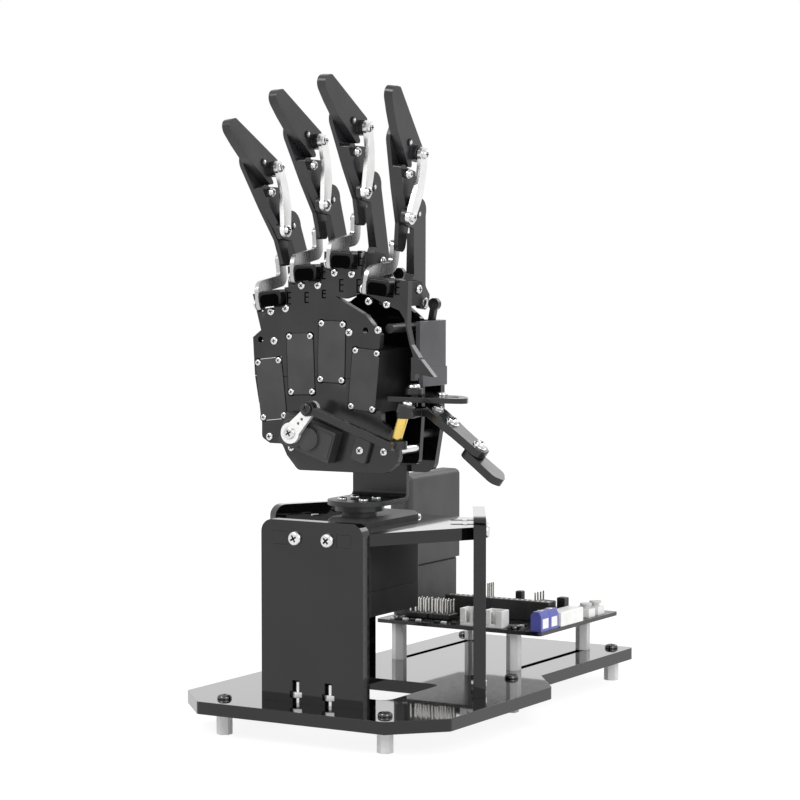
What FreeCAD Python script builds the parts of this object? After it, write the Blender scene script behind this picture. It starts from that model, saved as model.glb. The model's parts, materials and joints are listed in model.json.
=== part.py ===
import FreeCAD, Part
import math
import os

import Sketcher

# Desktop robot hand: a five-servo linkage hand on a turning bracket, carried by a
# three-sided stand on a base plate with the control board behind it.
# Millimetres, +Z up. The origin is on the desk, on the pan axis. The palm faces -Y.

V = FreeCAD.Vector
doc = FreeCAD.newDocument("RobotHand")
sheet = doc.addObject("Spreadsheet::Sheet", "Sizes")

# Driving sizes
SIZES = {
    # Base plate and feet
    "foot_height": 9, "base_thickness": 5, "base_half_width": 61.2, "base_front": 52.2,
    "base_chamfer_x": 18.2, "base_chamfer_y": 19.2, "base_shoulder": 49.3, "base_waist": 71,
    "base_tail_half_width": 44.8, "base_rear": 158.4, "corner_round": 2.5,
    "foot_across_flats": 5.5, "foot_x": 37.2, "foot_front": 41.6, "foot_middle": 59.1,
    "foot_rear": 151.4, "screw_clearance": 1.7, "slot_x": 28.2, "slot_front": 76, "slot_rear": 144,
    "slot_width": 3.4, "window_half": 20.5, "window_front": 12.5, "window_rear": 30.5,
    "window_round": 5,
    # Screws
    "thread_radius": 1.5, "pan_head_radius": 2.9, "pan_head_height": 1.7, "nut_across_flats": 5.5,
    "nut_height": 2.4, "small_head_radius": 1.25, "small_head_height": 0.8,
    # Stand
    "stand_thickness": 5, "stand_width": 47, "stand_height": 72, "stand_distance": 43,
    "stand_centre_y": 10, "stand_top_round": 5, "stand_free_distance": 36, "top_plate_level": 62.5,
    "top_tab_inner": 11.5, "top_tab_outer": 18, "tab_clearance": 0.1, "stand_screw_pitch": 15,
    "bottom_tab_half": 4, "slot_nut_level": 3.3, "bottom_slot_depth": 9, "nut_slot_clearance": 0.2,
    # Pan servo
    "servo_width": 20, "servo_length": 40.5, "servo_front": 9.5, "servo_bottom": 31.7,
    "servo_top": 71, "servo_flange": 54, "servo_flange_thickness": 2.5, "servo_boss_top": 73,
    "servo_boss_radius": 7, "servo_screw_length": 49.5, "servo_screw_width": 10,
    "servo_clearance": 0.3, "servo_case_round": 2,
    # Wrist
    "horn_bottom": 73.3, "horn_thickness": 2.4, "horn_radius": 10, "spline_radius": 3,
    "fit_clearance": 0.06, "bracket_sheet": 2, "bracket_half_width": 12.7, "leg_front": 15.5,
    "leg_top": 118, "bend_radius": 2, "horn_screw_radius": 7,
    # Palm stack along Y
    "palm_front": 18, "palm_sheet": 3, "palm_servo_depth": 24, "mid_sheet": 2.5,
    "back_front": 17.5, "back_sheet": 3, "palm_split": 127, "palm_gap": 0.2,
    # Finger servos
    "micro_length": 24.4, "micro_width": 12.6, "micro_shaft_offset": 5.9, "micro_boss": 4,
    "micro_boss_height": 2.9, "micro_spline": 2, "micro_round": 1, "arm_length": 9,
    "arm_thickness": 2, "arm_hub_radius": 3.6, "arm_end_radius": 2.2, "link_pin_radius": 1,
    "rod_radius": 1.2, "rod_eye_radius": 2.4, "rod_sheet": 2.2, "arm_rest_angle": 25,
    # Finger bones, side view: x to the rear, y upwards
    "knuckle_rise": -1, "knuckle_depth": 1.5, "proximal_reach": -5.4, "proximal_rise": 29.3,
    "middle_reach": -12.7, "middle_rise": 25.7, "pivot_radius": 1.5, "finger_gap": 0.2,
    "proximal_plate": 2, "proximal_block": 1.7, "middle_left_plate": 1.8, "middle_block": 4,
    "distal_thickness": 3.8, "link_sheet": 1.8, "boss_radius": 2.8, "curl_foot_x": -7.1,
    "curl_foot_y": -1.9, "curl_head_x": 5.4, "curl_head_y": -2.5, "drive_foot_x": -18,
    "drive_foot_y": -2, "drive_head_x": 3.4, "drive_head_y": -12.8, "lever_x": 10, "lever_y": -5,
    # Knuckle blocks
    "cap_half_height": 3, "cap_front": 21.5, "cap_left": 4.6, "cap_right": 6.2, "lug_thickness": 1.7,
    # Thumb
    "thumb_servo_x": -15.6, "thumb_servo_z": 105.4, "thumb_servo_angle": -18, "thumb_servo_face": 23.4,
    "thumb_arm_length": 14.3, "thumb_arm_angle": 45, "thumb_axis_x": 30, "thumb_axis_y": -8,
    "thumb_bend": 9, "thumb_lever_x": 2, "thumb_lever_y": -16.4, "thumb_level": 113, "thumb_slope": 36,
    "thumb_length": 27, "thumb_width": 11, "thumb_plate": 3.2, "thumb_tip_length": 17,
    "thumb_post_radius": 2.4, "thumb_neck_radius": 1.4, "ring_inner": 2.9, "ring_outer": 3.9,
    "ring_height": 3.2, "ring_shift": 0.5,
    # Control board and connectors
    "board_thickness": 1.6, "board_left": 36.5, "board_right": 43.5, "board_front": 72.6,
    "board_rear": 145.1, "board_level": 16, "board_post_x": 28.1, "board_post_front": 77.9,
    "board_post_rear": 141.5, "board_hole": 1.6,
    # Rear box
    "box_left": 36, "box_right": 25, "box_front": 81.7, "box_rear": 127, "box_split": 39, "box_top": 79,
    "box_round": 3, "box_groove": 1, "box_step": 1,
}

FINGERS = {
    # name: knuckle x, knuckle z above the base plate, splay, servo x, servo z, servo tilt, curl
    "little": (-29.7, 158.2, -7, -30.2, 121.9, -6.6, 0),
    "ring": (-13.1, 168.7, -2.5, -16.1, 132.2, -2.3, 0),
    "middle": (3.9, 174.0, 2, -1.6, 137.4, 1.5, 0),
    "index": (20.6, 163.6, 6.5, 13.3, 126.8, 5.5, -5),
}
FINGER_FIELDS = ("knuckle_x", "knuckle_z", "splay", "servo_x", "servo_z", "servo_tilt", "curl")

for finger, values in FINGERS.items():
    for field, value in zip(FINGER_FIELDS, values):
        SIZES[finger + "_" + field] = value


class Dim:
    """A size that carries its value and the spreadsheet formula it comes from."""

    def __init__(self, value, text):
        self.value = float(value)
        self.text = text

    @staticmethod
    def of(item):
        return item if isinstance(item, Dim) else Dim(item, "(%s)" % repr(float(item)))

    def join(self, other, sign, value):
        return Dim(value, "(%s %s %s)" % (self.text, sign, Dim.of(other).text))

    def __add__(self, other):
        return self.join(other, "+", self.value + Dim.of(other).value)

    def __sub__(self, other):
        return self.join(other, "-", self.value - Dim.of(other).value)

    def __mul__(self, other):
        return self.join(other, "*", self.value * Dim.of(other).value)

    def __truediv__(self, other):
        return self.join(other, "/", self.value / Dim.of(other).value)

    def __radd__(self, other):
        return Dim.of(other) + self

    def __rsub__(self, other):
        return Dim.of(other) - self

    def __rmul__(self, other):
        return Dim.of(other) * self

    def __neg__(self):
        return Dim.of(0) - self

    def __float__(self):
        return self.value


def cosd(angle):
    angle = Dim.of(angle)
    return Dim(math.cos(math.radians(angle.value)), "cos(%s * 1 deg)" % angle.text)


def sind(angle):
    angle = Dim.of(angle)
    return Dim(math.sin(math.radians(angle.value)), "sin(%s * 1 deg)" % angle.text)


class Sizes:
    """The spreadsheet's cells by name."""


def fill_sheet():
    sizes = Sizes()
    for row, (alias, value) in enumerate(SIZES.items(), start=1):
        sheet.set("A%d" % row, alias)
        sheet.set("B%d" % row, repr(value))
        sheet.setAlias("B%d" % row, alias)
        setattr(sizes, alias, Dim(value, "Sizes.%s" % alias))
    doc.recompute()
    return sizes


d = fill_sheet()
lift = d.foot_height + d.base_thickness


# Sketch and feature helpers
def body_named(label):
    body = doc.addObject("PartDesign::Body", label)
    body.Label = label
    return body


def new_sketch(body, at):
    """A sketch on the body's XY plane, raised by `at`."""
    sketch = body.newObject("Sketcher::SketchObject", body.Label + "_sketch")
    plane = [f for f in body.Origin.OriginFeatures if f.Role == "XY_Plane"][0]
    sketch.AttachmentSupport = [(plane, "")]
    sketch.MapMode = "FlatFace"
    at = Dim.of(at)
    sketch.AttachmentOffset = FreeCAD.Placement(V(0, 0, at.value), FreeCAD.Rotation())
    sketch.setExpression("AttachmentOffset.Base.z", at.text)
    return sketch


def bind(sketch, kind, where, size):
    """Adds a dimension and ties it to the sheet."""
    size = Dim.of(size)
    number = sketch.addConstraint(Sketcher.Constraint(kind, *where, size.value))
    sketch.setExpression("Constraints[%d]" % number, size.text)


def bind_point(sketch, geometry, end, x, y):
    bind(sketch, "DistanceX", (-1, 1, geometry, end), x)
    bind(sketch, "DistanceY", (-1, 1, geometry, end), y)


def corner_data(points, i):
    """Tangent points and centre of the arc at corner i, or None for a sharp corner."""
    x, y = float(points[i][0]), float(points[i][1])
    if len(points[i]) < 3:
        return None
    radius = float(points[i][2])
    before, after = points[i - 1], points[(i + 1) % len(points)]
    a = V(float(before[0]) - x, float(before[1]) - y, 0).normalize()
    b = V(float(after[0]) - x, float(after[1]) - y, 0).normalize()
    half = a.getAngle(b) / 2
    reach = radius / math.tan(half)
    centre = V(x, y, 0) + (a + b).normalize() * (radius / math.sin(half))
    return V(x, y, 0) + a * reach, V(x, y, 0) + b * reach, centre, radius


def add_outline(sketch, points):
    """A closed outline; a point with a third value is a corner rounded by that radius."""
    corners = [corner_data(points, i) for i in range(len(points))]
    count = len(points)
    lines = []
    for i in range(count):
        j = (i + 1) % count
        start = corners[i][1] if corners[i] else V(float(points[i][0]), float(points[i][1]), 0)
        end = corners[j][0] if corners[j] else V(float(points[j][0]), float(points[j][1]), 0)
        lines.append(sketch.addGeometry(Part.LineSegment(start, end)))
    for i in range(count):
        incoming, outgoing = lines[i - 1], lines[i]
        if corners[i] is None:
            sketch.addConstraint(Sketcher.Constraint("Coincident", incoming, 2, outgoing, 1))
            bind_point(sketch, outgoing, 1, points[i][0], points[i][1])
            continue
        first, last, centre, radius = corners[i]
        start = math.atan2(first.y - centre.y, first.x - centre.x)
        end = math.atan2(last.y - centre.y, last.x - centre.x)
        turn = (end - start) % (2 * math.pi)
        forward = turn < math.pi
        circle = Part.Circle(centre, V(0, 0, 1), radius)
        ends = (start, end) if forward else (end, start)
        arc = sketch.addGeometry(Part.ArcOfCircle(circle, ends[0], ends[1]))
        near, far = (1, 2) if forward else (2, 1)
        sketch.addConstraint(Sketcher.Constraint("Tangent", incoming, 2, arc, near))
        sketch.addConstraint(Sketcher.Constraint("Tangent", arc, far, outgoing, 1))
        bind(sketch, "Radius", (arc,), points[i][2])
        mark = sketch.addGeometry(Part.Point(V(float(points[i][0]), float(points[i][1]), 0)), True)
        bind_point(sketch, mark, 1, points[i][0], points[i][1])
        sketch.addConstraint(Sketcher.Constraint("PointOnObject", mark, 1, incoming))
        sketch.addConstraint(Sketcher.Constraint("PointOnObject", mark, 1, outgoing))


def add_circle(sketch, x, y, radius):
    circle = Part.Circle(V(float(x), float(y), 0), V(0, 0, 1), float(radius))
    number = sketch.addGeometry(circle)
    bind_point(sketch, number, 3, x, y)
    bind(sketch, "Radius", (number,), radius)


def fill_sketch(sketch, outlines, circles):
    for points in outlines:
        add_outline(sketch, points)
    for x, y, radius in circles:
        add_circle(sketch, x, y, radius)


def pad(body, length, outlines=(), circles=(), at=0):
    """Adds the outlines and circles as solid, from the level `at` upwards."""
    sketch = new_sketch(body, at)
    fill_sketch(sketch, outlines, circles)
    feature = body.newObject("PartDesign::Pad", body.Label + "_pad")
    feature.Profile = sketch
    length = Dim.of(length)
    feature.Length = length.value
    feature.setExpression("Length", length.text)
    doc.recompute()
    return feature


def cut(body, length, outlines=(), circles=(), at=0):
    """Removes the outlines and circles, from the level `at` upwards."""
    before = body.Shape.Volume
    sketch = new_sketch(body, at)
    fill_sketch(sketch, outlines, circles)
    feature = body.newObject("PartDesign::Pocket", body.Label + "_cut")
    feature.Profile = sketch
    feature.Reversed = True
    length = Dim.of(length)
    feature.Length = length.value
    feature.setExpression("Length", length.text)
    doc.recompute()
    if not body.Shape.Volume < before - 0.01:
        raise RuntimeError("a cut took nothing from " + body.Label)
    return feature


def dress(body, kind, size, wanted):
    """Fillets or chamfers the edges for which wanted(middle, direction) is true."""
    base = body.Tip
    names = []
    for number, edge in enumerate(base.Shape.Edges, start=1):
        middle = edge.valueAt((edge.FirstParameter + edge.LastParameter) / 2)
        direction = edge.tangentAt((edge.FirstParameter + edge.LastParameter) / 2)
        if wanted(middle, direction):
            names.append("Edge%d" % number)
    feature = body.newObject("PartDesign::" + kind, body.Label + "_" + kind.lower())
    feature.Base = (base, names)
    size = Dim.of(size)
    name = "Radius" if kind == "Fillet" else "Size"
    setattr(feature, name, size.value)
    feature.setExpression(name, size.text)
    doc.recompute()
    return feature


def place(body, x, y, z, rotation=None):
    """Moves the body's origin to (x, y, z); the coordinates stay tied to the sheet."""
    spot = [Dim.of(value) for value in (x, y, z)]
    turn = rotation or FreeCAD.Rotation()
    body.Placement = FreeCAD.Placement(V(*[value.value for value in spot]), turn)
    for axis, value in zip("xyz", spot):
        body.setExpression("Placement.Base." + axis, value.text)
    return body


def box(x0, y0, x1, y1, radius=None):
    """A rectangle's corners, rounded where a radius is given."""
    corners = [(x0, y0), (x1, y0), (x1, y1), (x0, y1)]
    return corners if radius is None else [(x, y, radius) for x, y in corners]


def hexagon(x, y, across_flats):
    """A hexagon with two flats across x."""
    long = across_flats * (0.5 / math.cos(math.radians(30)))
    return [(x + long * cosd(60 * i + 30), y + long * sind(60 * i + 30)) for i in range(6)]


def tilted_box(x, y, width, height, tilt):
    """A rectangle about (x, y) whose upper end leans to +x by `tilt` degrees."""
    corners = []
    for sx, sy in ((-0.5, -0.5), (0.5, -0.5), (0.5, 0.5), (-0.5, 0.5)):
        a, b = width * sx, height * sy
        corners.append((x + a * cosd(tilt) + b * sind(tilt), y - a * sind(tilt) + b * cosd(tilt)))
    return corners


UPRIGHT = FreeCAD.Rotation(V(1, 0, 0), 90)


# Base plate, feet and screws
def base_screw_spots():
    return [(side * d.foot_x, y) for y in (-d.foot_front, d.foot_middle, d.foot_rear) for side in (-1, 1)]


def stand_frame(k):
    """Middle of stand plate k at base level, and its outward direction in degrees."""
    angle = -90 + 120 * k
    x = d.stand_distance * cosd(angle)
    y = d.stand_centre_y + d.stand_distance * sind(angle)
    return x, y, angle


def turned_box(x, y, angle, u0, v0, u1, v1):
    """A rectangle in the frame at (x, y) whose u axis points along `angle`."""
    c, s = cosd(angle), sind(angle)
    return [(x + u * c - v * s, y + u * s + v * c) for u, v in ((u0, v0), (u1, v0), (u1, v1), (u0, v1))]


def base_tab_boxes(gap):
    """The three tabs of each stand plate, as seen from above."""
    boxes = []
    half = d.stand_thickness / 2
    for k in range(3):
        x, y, angle = stand_frame(k)
        for v in (-d.stand_screw_pitch, Dim.of(0), d.stand_screw_pitch):
            tab = d.bottom_tab_half + gap
            boxes.append(turned_box(x, y, angle, -half - gap, v - tab, half + gap, v + tab))
    return boxes


def base_plate():
    body = body_named("base_plate")
    w, f = d.base_half_width, -d.base_front
    side = [(w - d.base_chamfer_x, f, d.corner_round), (w, f + d.base_chamfer_y, d.corner_round),
            (w, d.base_shoulder, d.corner_round), (d.base_tail_half_width, d.base_waist, d.corner_round),
            (d.base_tail_half_width, d.base_rear, d.corner_round)]
    mirror = [(-x, y, r) for x, y, r in reversed(side)]
    window = box(-d.window_half, -d.window_front, d.window_half, d.window_rear, d.window_round)
    slots = [box(s * d.slot_x - d.slot_width / 2, d.slot_front, s * d.slot_x + d.slot_width / 2,
                 d.slot_rear) for s in (-1, 1)]
    holes = [(x, y, d.screw_clearance) for x, y in base_screw_spots()]
    pad(body, d.base_thickness, [side + mirror, window] + slots, holes)
    cut(body, d.base_thickness, base_tab_boxes(d.tab_clearance))
    screws = []
    for k in range(3):
        x, y, angle = stand_frame(k)
        for v in (-d.stand_screw_pitch / 2, d.stand_screw_pitch / 2):
            screws.append((x - v * sind(angle), y + v * cosd(angle), d.screw_clearance))
    cut(body, d.base_thickness, circles=screws)
    return place(body, 0, 0, d.foot_height)


def hex_standoffs():
    """Six feet under the base plate and four posts under the board."""
    body = body_named("hex_standoffs")
    feet = [hexagon(x, y, d.foot_across_flats) for x, y in base_screw_spots()]
    pad(body, d.foot_height, feet)
    spots = board_posts()
    posts = [hexagon(x, y, d.foot_across_flats) for x, y in spots]
    pad(body, d.board_level, posts, at=lift)
    return body


def board_posts():
    return [(s * d.board_post_x, y) for y in (d.board_post_front, d.board_post_rear) for s in (-1, 1)]


def screw_stack(body, spots, head_level, shank_length, head_radius, head_height):
    """Pan-head screws along Z: heads above head_level, shanks below it."""
    pad(body, head_height, circles=[(x, y, head_radius) for x, y in spots], at=head_level)
    pad(body, shank_length, circles=[(x, y, d.thread_radius) for x, y in spots],
        at=head_level - shank_length)


def base_screws():
    body = body_named("desk_side_screws")
    screw_stack(body, base_screw_spots(), lift, d.base_thickness, d.pan_head_radius, d.pan_head_height)
    screw_stack(body, board_posts(), lift + d.board_level + d.board_thickness, d.board_thickness,
                d.pan_head_radius, d.pan_head_height)
    return body


# Stand: three upright plates slotted round a six-sided top plate
def stand_outline():
    half, top = d.stand_width / 2, d.stand_height
    tab, deep, pitch = d.bottom_tab_half, d.base_thickness, d.stand_screw_pitch
    points = [(-half, Dim.of(0))]
    for centre in (-pitch, Dim.of(0), pitch):
        points += [(centre - tab, Dim.of(0)), (centre - tab, -deep), (centre + tab, -deep),
                   (centre + tab, Dim.of(0))]
        if centre is not pitch:
            points += t_slot(centre + pitch / 2)
    points += [(half, Dim.of(0)), (half, top, d.stand_top_round), (-half, top, d.stand_top_round)]
    return points


def t_slot(x):
    """A captive-nut slot that opens at the bottom edge."""
    shank = d.thread_radius + d.tab_clearance
    wide = (d.nut_across_flats + d.nut_slot_clearance) / 2
    low = d.slot_nut_level - (d.nut_height + d.nut_slot_clearance) / 2
    high = d.slot_nut_level + (d.nut_height + d.nut_slot_clearance) / 2
    deep = d.bottom_slot_depth
    return [(x - shank, Dim.of(0)), (x - shank, low), (x - wide, low), (x - wide, high),
            (x - shank, high), (x - shank, deep), (x + shank, deep), (x + shank, high),
            (x + wide, high), (x + wide, low), (x + shank, low), (x + shank, Dim.of(0))]


def stand_plate(label, k):
    body = body_named(label)
    pad(body, d.stand_thickness, [stand_outline()])
    gap = d.tab_clearance
    level = d.top_plate_level
    tabs = [box(s * d.top_tab_inner - s * gap, level - gap, s * d.top_tab_outer + s * gap,
                level + d.stand_thickness + gap) for s in (-1, 1)]
    middle = level + d.stand_thickness / 2
    holes = [(s * d.stand_screw_pitch / 2, middle, d.screw_clearance) for s in (-1, 1)]
    cut(body, d.stand_thickness, tabs, holes)
    x, y, angle = stand_frame(k)
    half = d.stand_thickness / 2
    turn = FreeCAD.Rotation(V(0, 0, 1), angle + 90).multiply(UPRIGHT)
    return place(body, x - half * cosd(angle), y - half * sind(angle), lift, turn)


def servo_window(gap):
    front, rear = -d.servo_front, d.servo_length - d.servo_front
    half = d.servo_width / 2
    return box(-half - gap, front - gap, half + gap, rear + gap)


def stand_top_plate():
    body = body_named("stand_top_plate")
    near = d.stand_distance - d.stand_thickness / 2
    free = d.stand_free_distance
    # Half the length of a side that meets a stand plate
    half = (free - near * 0.5) / math.cos(math.radians(30))
    points = []
    for k in range(3):
        angle = -90 + 120 * k
        x0, y0 = near * cosd(angle), d.stand_centre_y + near * sind(angle)
        c, s = cosd(angle), sind(angle)
        for v in corner_steps(half):
            u, side = v
            points.append((x0 + u * c - side * s, y0 + u * s + side * c))
    pad(body, d.stand_thickness, [points, servo_window(d.servo_clearance)])
    return place(body, 0, 0, lift + d.top_plate_level)


def corner_steps(half):
    """One side of the top plate with its two tabs and two captive-nut slots."""
    t = d.stand_thickness
    inner, outer = d.top_tab_inner, d.top_tab_outer
    zero = Dim.of(0)
    steps = [(zero, -half), (zero, -outer), (t, -outer), (t, -inner), (zero, -inner)]
    shank = d.thread_radius + d.tab_clearance
    wide = (d.nut_across_flats + d.nut_slot_clearance) / 2
    low = d.slot_nut_level - (d.nut_height + d.nut_slot_clearance) / 2
    high = d.slot_nut_level + (d.nut_height + d.nut_slot_clearance) / 2
    deep = d.bottom_slot_depth
    for s in (-1, 1):
        x = s * d.stand_screw_pitch / 2
        slot = [(zero, x - shank), (-low, x - shank), (-low, x - wide), (-high, x - wide),
                (-high, x - shank), (-deep, x - shank), (-deep, x + shank), (-high, x + shank),
                (-high, x + wide), (-low, x + wide), (-low, x + shank), (zero, x + shank)]
        steps += slot
    steps += [(zero, inner), (t, inner), (t, outer), (zero, outer), (zero, half)]
    return steps


def frame_fasteners():
    """Screws of the base and board, and the stand's twelve pan screws with their nuts."""
    pieces = list(base_screws().Shape.Solids)
    for k in range(3):
        x, y, angle = stand_frame(k)
        out = V(float(cosd(angle)), float(sind(angle)), 0)
        side = V(-out.y, out.x, 0)
        for s in (-1, 1):
            v = s * float(d.stand_screw_pitch) / 2
            foot = V(float(x), float(y), float(lift)) + side * v
            level = float(d.top_plate_level + d.stand_thickness / 2)
            face = foot + out * (float(d.stand_thickness) / 2) + V(0, 0, level)
            depth = float(d.stand_thickness + d.bottom_slot_depth) - 0.5
            nut_in = float(d.stand_thickness + d.slot_nut_level)
            pieces += screw_and_nut(face, out, depth, nut_in, out.cross(V(0, 0, 1)))
            under = foot - V(0, 0, float(d.base_thickness))
            depth = float(d.base_thickness + d.bottom_slot_depth) - 0.5
            nut_in = float(d.base_thickness + d.slot_nut_level)
            pieces += screw_and_nut(under, V(0, 0, -1), depth, nut_in, side)
    feature = doc.addObject("Part::Feature", "frame_fasteners")
    feature.Shape = Part.makeCompound(pieces)
    return feature


def screw_and_nut(face, out, depth, nut_in, flat):
    """A pan screw whose head sits on `face`, and its nut nut_in below the head."""
    head = Part.makeCylinder(float(d.pan_head_radius), float(d.pan_head_height), face, out)
    rim = [e for e in head.Edges if far_rim(e, face, out)]
    head = head.makeChamfer(float(d.pan_head_height) * 0.45, rim)
    shank = Part.makeCylinder(float(d.thread_radius), depth, face, -out)
    # A nut as wide as its slot: flats against the slot's ends
    height = float(d.nut_height)
    radius = float(d.nut_across_flats) / 2 / math.cos(math.radians(30))
    middle = face - out * nut_in
    start = middle - out * (height / 2)
    third = out.cross(flat)
    ring = []
    for i in range(7):
        a = math.radians(60 * i + 30)
        ring.append(start + flat * (radius * math.cos(a)) + third * (radius * math.sin(a)))
    block = Part.Face(Part.makePolygon(ring)).extrude(out * height)
    hole = Part.makeCylinder(float(d.thread_radius), height * 3, middle + out * height * 1.5, -out)
    return [head.fuse(shank).removeSplitter(), block.cut(hole)]


def far_rim(edge, face, out):
    middle = edge.valueAt(edge.FirstParameter)
    return len(edge.Vertexes) == 1 and (middle - face).dot(out) > float(d.pan_head_height) * 0.9


# Pan servo
def pan_servo():
    body = body_named("pan_servo")
    half = d.servo_width / 2
    front, rear = -d.servo_front, d.servo_length - d.servo_front
    pad(body, d.servo_top - d.servo_bottom, [box(-half, front, half, rear, d.servo_case_round)],
        at=lift + d.servo_bottom)
    reach = (d.servo_flange - d.servo_length) / 2
    flange = d.servo_flange_thickness
    under = lift + d.top_plate_level - flange
    middle = d.servo_length / 2 - d.servo_front
    spots = [(s * d.servo_screw_width / 2, middle + e * d.servo_screw_length / 2, d.screw_clearance)
             for s in (-1, 1) for e in (-1, 1)]
    pad(body, flange, [box(-half, front - reach, half, rear + reach, d.servo_case_round)], at=under)
    cut(body, flange, circles=spots, at=under)
    top = lift + d.servo_top
    pad(body, d.servo_boss_top - d.servo_top, circles=[(0, 0, d.servo_boss_radius)], at=top)
    pad(body, d.horn_bottom + d.horn_thickness - d.servo_top, circles=[(0, 0, d.spline_radius)], at=top)
    seam = lift + d.servo_bottom + d.servo_boss_top - d.servo_top + 8
    level = float(top)
    dress(body, "Chamfer", 1.5, lambda m, v: abs(m.z - level) < 0.01 and abs(m.y) > 5 and abs(v.z) < 0.1
          and m.Length > 5 and V(m.x, m.y, 0).Length > float(d.servo_boss_radius) + 0.5)
    cut(body, 0.5, [box(-half - 1, front - 1, half + 1, rear + 1),
                    box(-half + 0.4, front + 0.4, half - 0.4, rear - 0.4)], at=seam)
    return body


def pan_horn():
    body = body_named("pan_horn")
    fit = d.spline_radius + d.fit_clearance
    pad(body, d.horn_thickness, circles=[(0, 0, d.horn_radius), (0, 0, fit)])
    ring = d.horn_screw_radius
    holes = [(ring * cosd(45 + 90 * i), ring * sind(45 + 90 * i), d.thread_radius) for i in range(4)]
    cut(body, d.horn_thickness, circles=holes)
    return place(body, 0, 0, lift + d.horn_bottom)


# Wrist bracket: bent sheet, flange over the horn and a leg up behind the palm
def wrist_bracket():
    body = body_named("wrist_bracket")
    w = d.bracket_half_width
    rear = d.leg_front + d.bracket_sheet
    level = lift + d.horn_bottom + d.horn_thickness
    # The full-round front end is nearly a half circle about the pan axis
    outline = [(-w, -w, w * 0.98), (w, -w, w * 0.98), (w, rear), (-w, rear)]
    ring = d.horn_screw_radius
    holes = [(ring * cosd(45 + 90 * i), ring * sind(45 + 90 * i), d.thread_radius) for i in range(4)]
    pad(body, d.bracket_sheet, [outline], holes + [(0, 0, d.spline_radius + 1)], at=level)
    top = lift + d.leg_top
    pad(body, top - level, [box(-w, d.leg_front, w, rear)], at=level)
    bend = d.bend_radius + d.bracket_sheet
    outer, low = float(rear), float(level)
    dress(body, "Fillet", bend, lambda m, v: abs(m.y - outer) < 0.01 and abs(m.z - low) < 0.01)
    inner, high = float(d.leg_front), float(level + d.bracket_sheet)
    dress(body, "Fillet", d.bend_radius, lambda m, v: abs(m.y - inner) < 0.01 and abs(m.z - high) < 0.01)
    return body


# Palm plates, drawn in the front view: x to the right, y upwards from the base plate
def servo_box(finger, gap):
    x, z = getattr(d, finger + "_servo_x"), getattr(d, finger + "_servo_z")
    tilt = getattr(d, finger + "_servo_tilt")
    return tilted_box(x, z, d.micro_width + gap * 2, d.micro_length + gap * 2, tilt)


def servo_shaft(finger):
    """The output shaft's place in the front view."""
    tilt = getattr(d, finger + "_servo_tilt")
    x = getattr(d, finger + "_servo_x") + d.micro_shaft_offset * sind(tilt)
    z = getattr(d, finger + "_servo_z") + d.micro_shaft_offset * cosd(tilt)
    return x, z


def thumb_servo_box(gap):
    angle = d.thumb_servo_angle
    x = d.thumb_servo_x + d.micro_shaft_offset * cosd(angle)
    z = d.thumb_servo_z + d.micro_shaft_offset * sind(angle)
    return tilted_box(x, z, d.micro_width + gap * 2, d.micro_length + gap * 2, 90 - angle)


def knuckle_point(finger, u, rise):
    """A front-view point beside a finger: u across the finger, rise along it."""
    splay = getattr(d, finger + "_splay")
    x = getattr(d, finger + "_knuckle_x") + u * cosd(splay) + rise * sind(splay)
    z = getattr(d, finger + "_knuckle_z") - u * sind(splay) + rise * cosd(splay)
    return x, z


def upper_outline():
    """Top edge steps round each knuckle block; the bottom edge meets the lower plate."""
    gap = d.palm_gap
    points = []
    for finger in ("little", "ring", "middle", "index"):
        left, right = -d.cap_left - gap, d.cap_right + gap
        low, high = -d.cap_half_height - gap * 4, d.cap_half_height + 0.5
        link, deep = drive_level() - gap * 4, d.drive_foot_y - 2.9
        last = 8.2 if finger != "index" else 12.5
        steps = [(-9, high - 1), (link, high - 1), (link, deep), (left, deep), (left, low), (right, low),
                 (right, high), (last, high)]
        points += [knuckle_point(finger, Dim.of(u), Dim.of(r)) for u, r in steps]
    split = d.palm_split + gap / 2
    right = [(32.9, split + 21.6), (34.7, split + 13.9), (38.3, split + 9.0), (36.0, split)]
    left = [(-38.0, split), (-38.9, split + 15.3), (-35.0, split + 18.2)]
    return points + right + left


def lower_outline():
    split = d.palm_split - d.palm_gap / 2
    return [(-38.0, split), (-34.7, 108.5), (-34.7, 102.4, 2), (-30.9, 100.2, 1), (-25.1, 100.2, 1.5),
            (-22.8, 95.7), (-17.6, 90.0, 3), (22.9, 90.4, 4), (29.6, 95.4, 5), (27.4, 107.0, 3),
            (21.2, 110.5, 2), (21.2, 119.5, 2), (37.5, 121.5, 2), (36.0, split)]


FRONT_SCREWS = {
    "upper": ((-30.1, 152.8), (-23.1, 154.1), (-28.6, 141.1), (6.6, 145.2), (19.9, 146.4),
              (-15.6, 163.3), (-7.9, 163.5), (-0.2, 168.5), (7.8, 168.1), (15.6, 157.6), (23.8, 156.5)),
    "lower": ((-30.9, 102.8), (-20.5, 98.9), (11.5, 99.2), (22.4, 98.9)),
}


def front_plate(label, outline, screws):
    """One of the two front plates, with openings for whichever servos reach into it."""
    body = body_named(label)
    pad(body, d.palm_sheet, [outline])
    blank = body.Shape
    for name in FINGERS:
        cut_if_met(body, blank, servo_box(name, d.palm_gap))
    if label == "palm_lower_plate":
        cut(body, d.palm_sheet, [thumb_servo_box(d.palm_gap)])
    cut(body, d.palm_sheet, circles=[(x, z, d.screw_clearance - 0.5) for x, z in screws])
    return place(body, 0, d.palm_sheet - d.palm_front, lift, UPRIGHT)


def cut_if_met(body, blank, points):
    corners = [V(float(x), float(y), 0) for x, y in points]
    probe = Part.Face(Part.makePolygon(corners + corners[:1])).extrude(V(0, 0, float(d.palm_sheet)))
    if blank.common(probe).Volume > 1:
        cut(body, d.palm_sheet, [points])


def mid_front():
    return d.palm_servo_depth - d.palm_front


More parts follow.
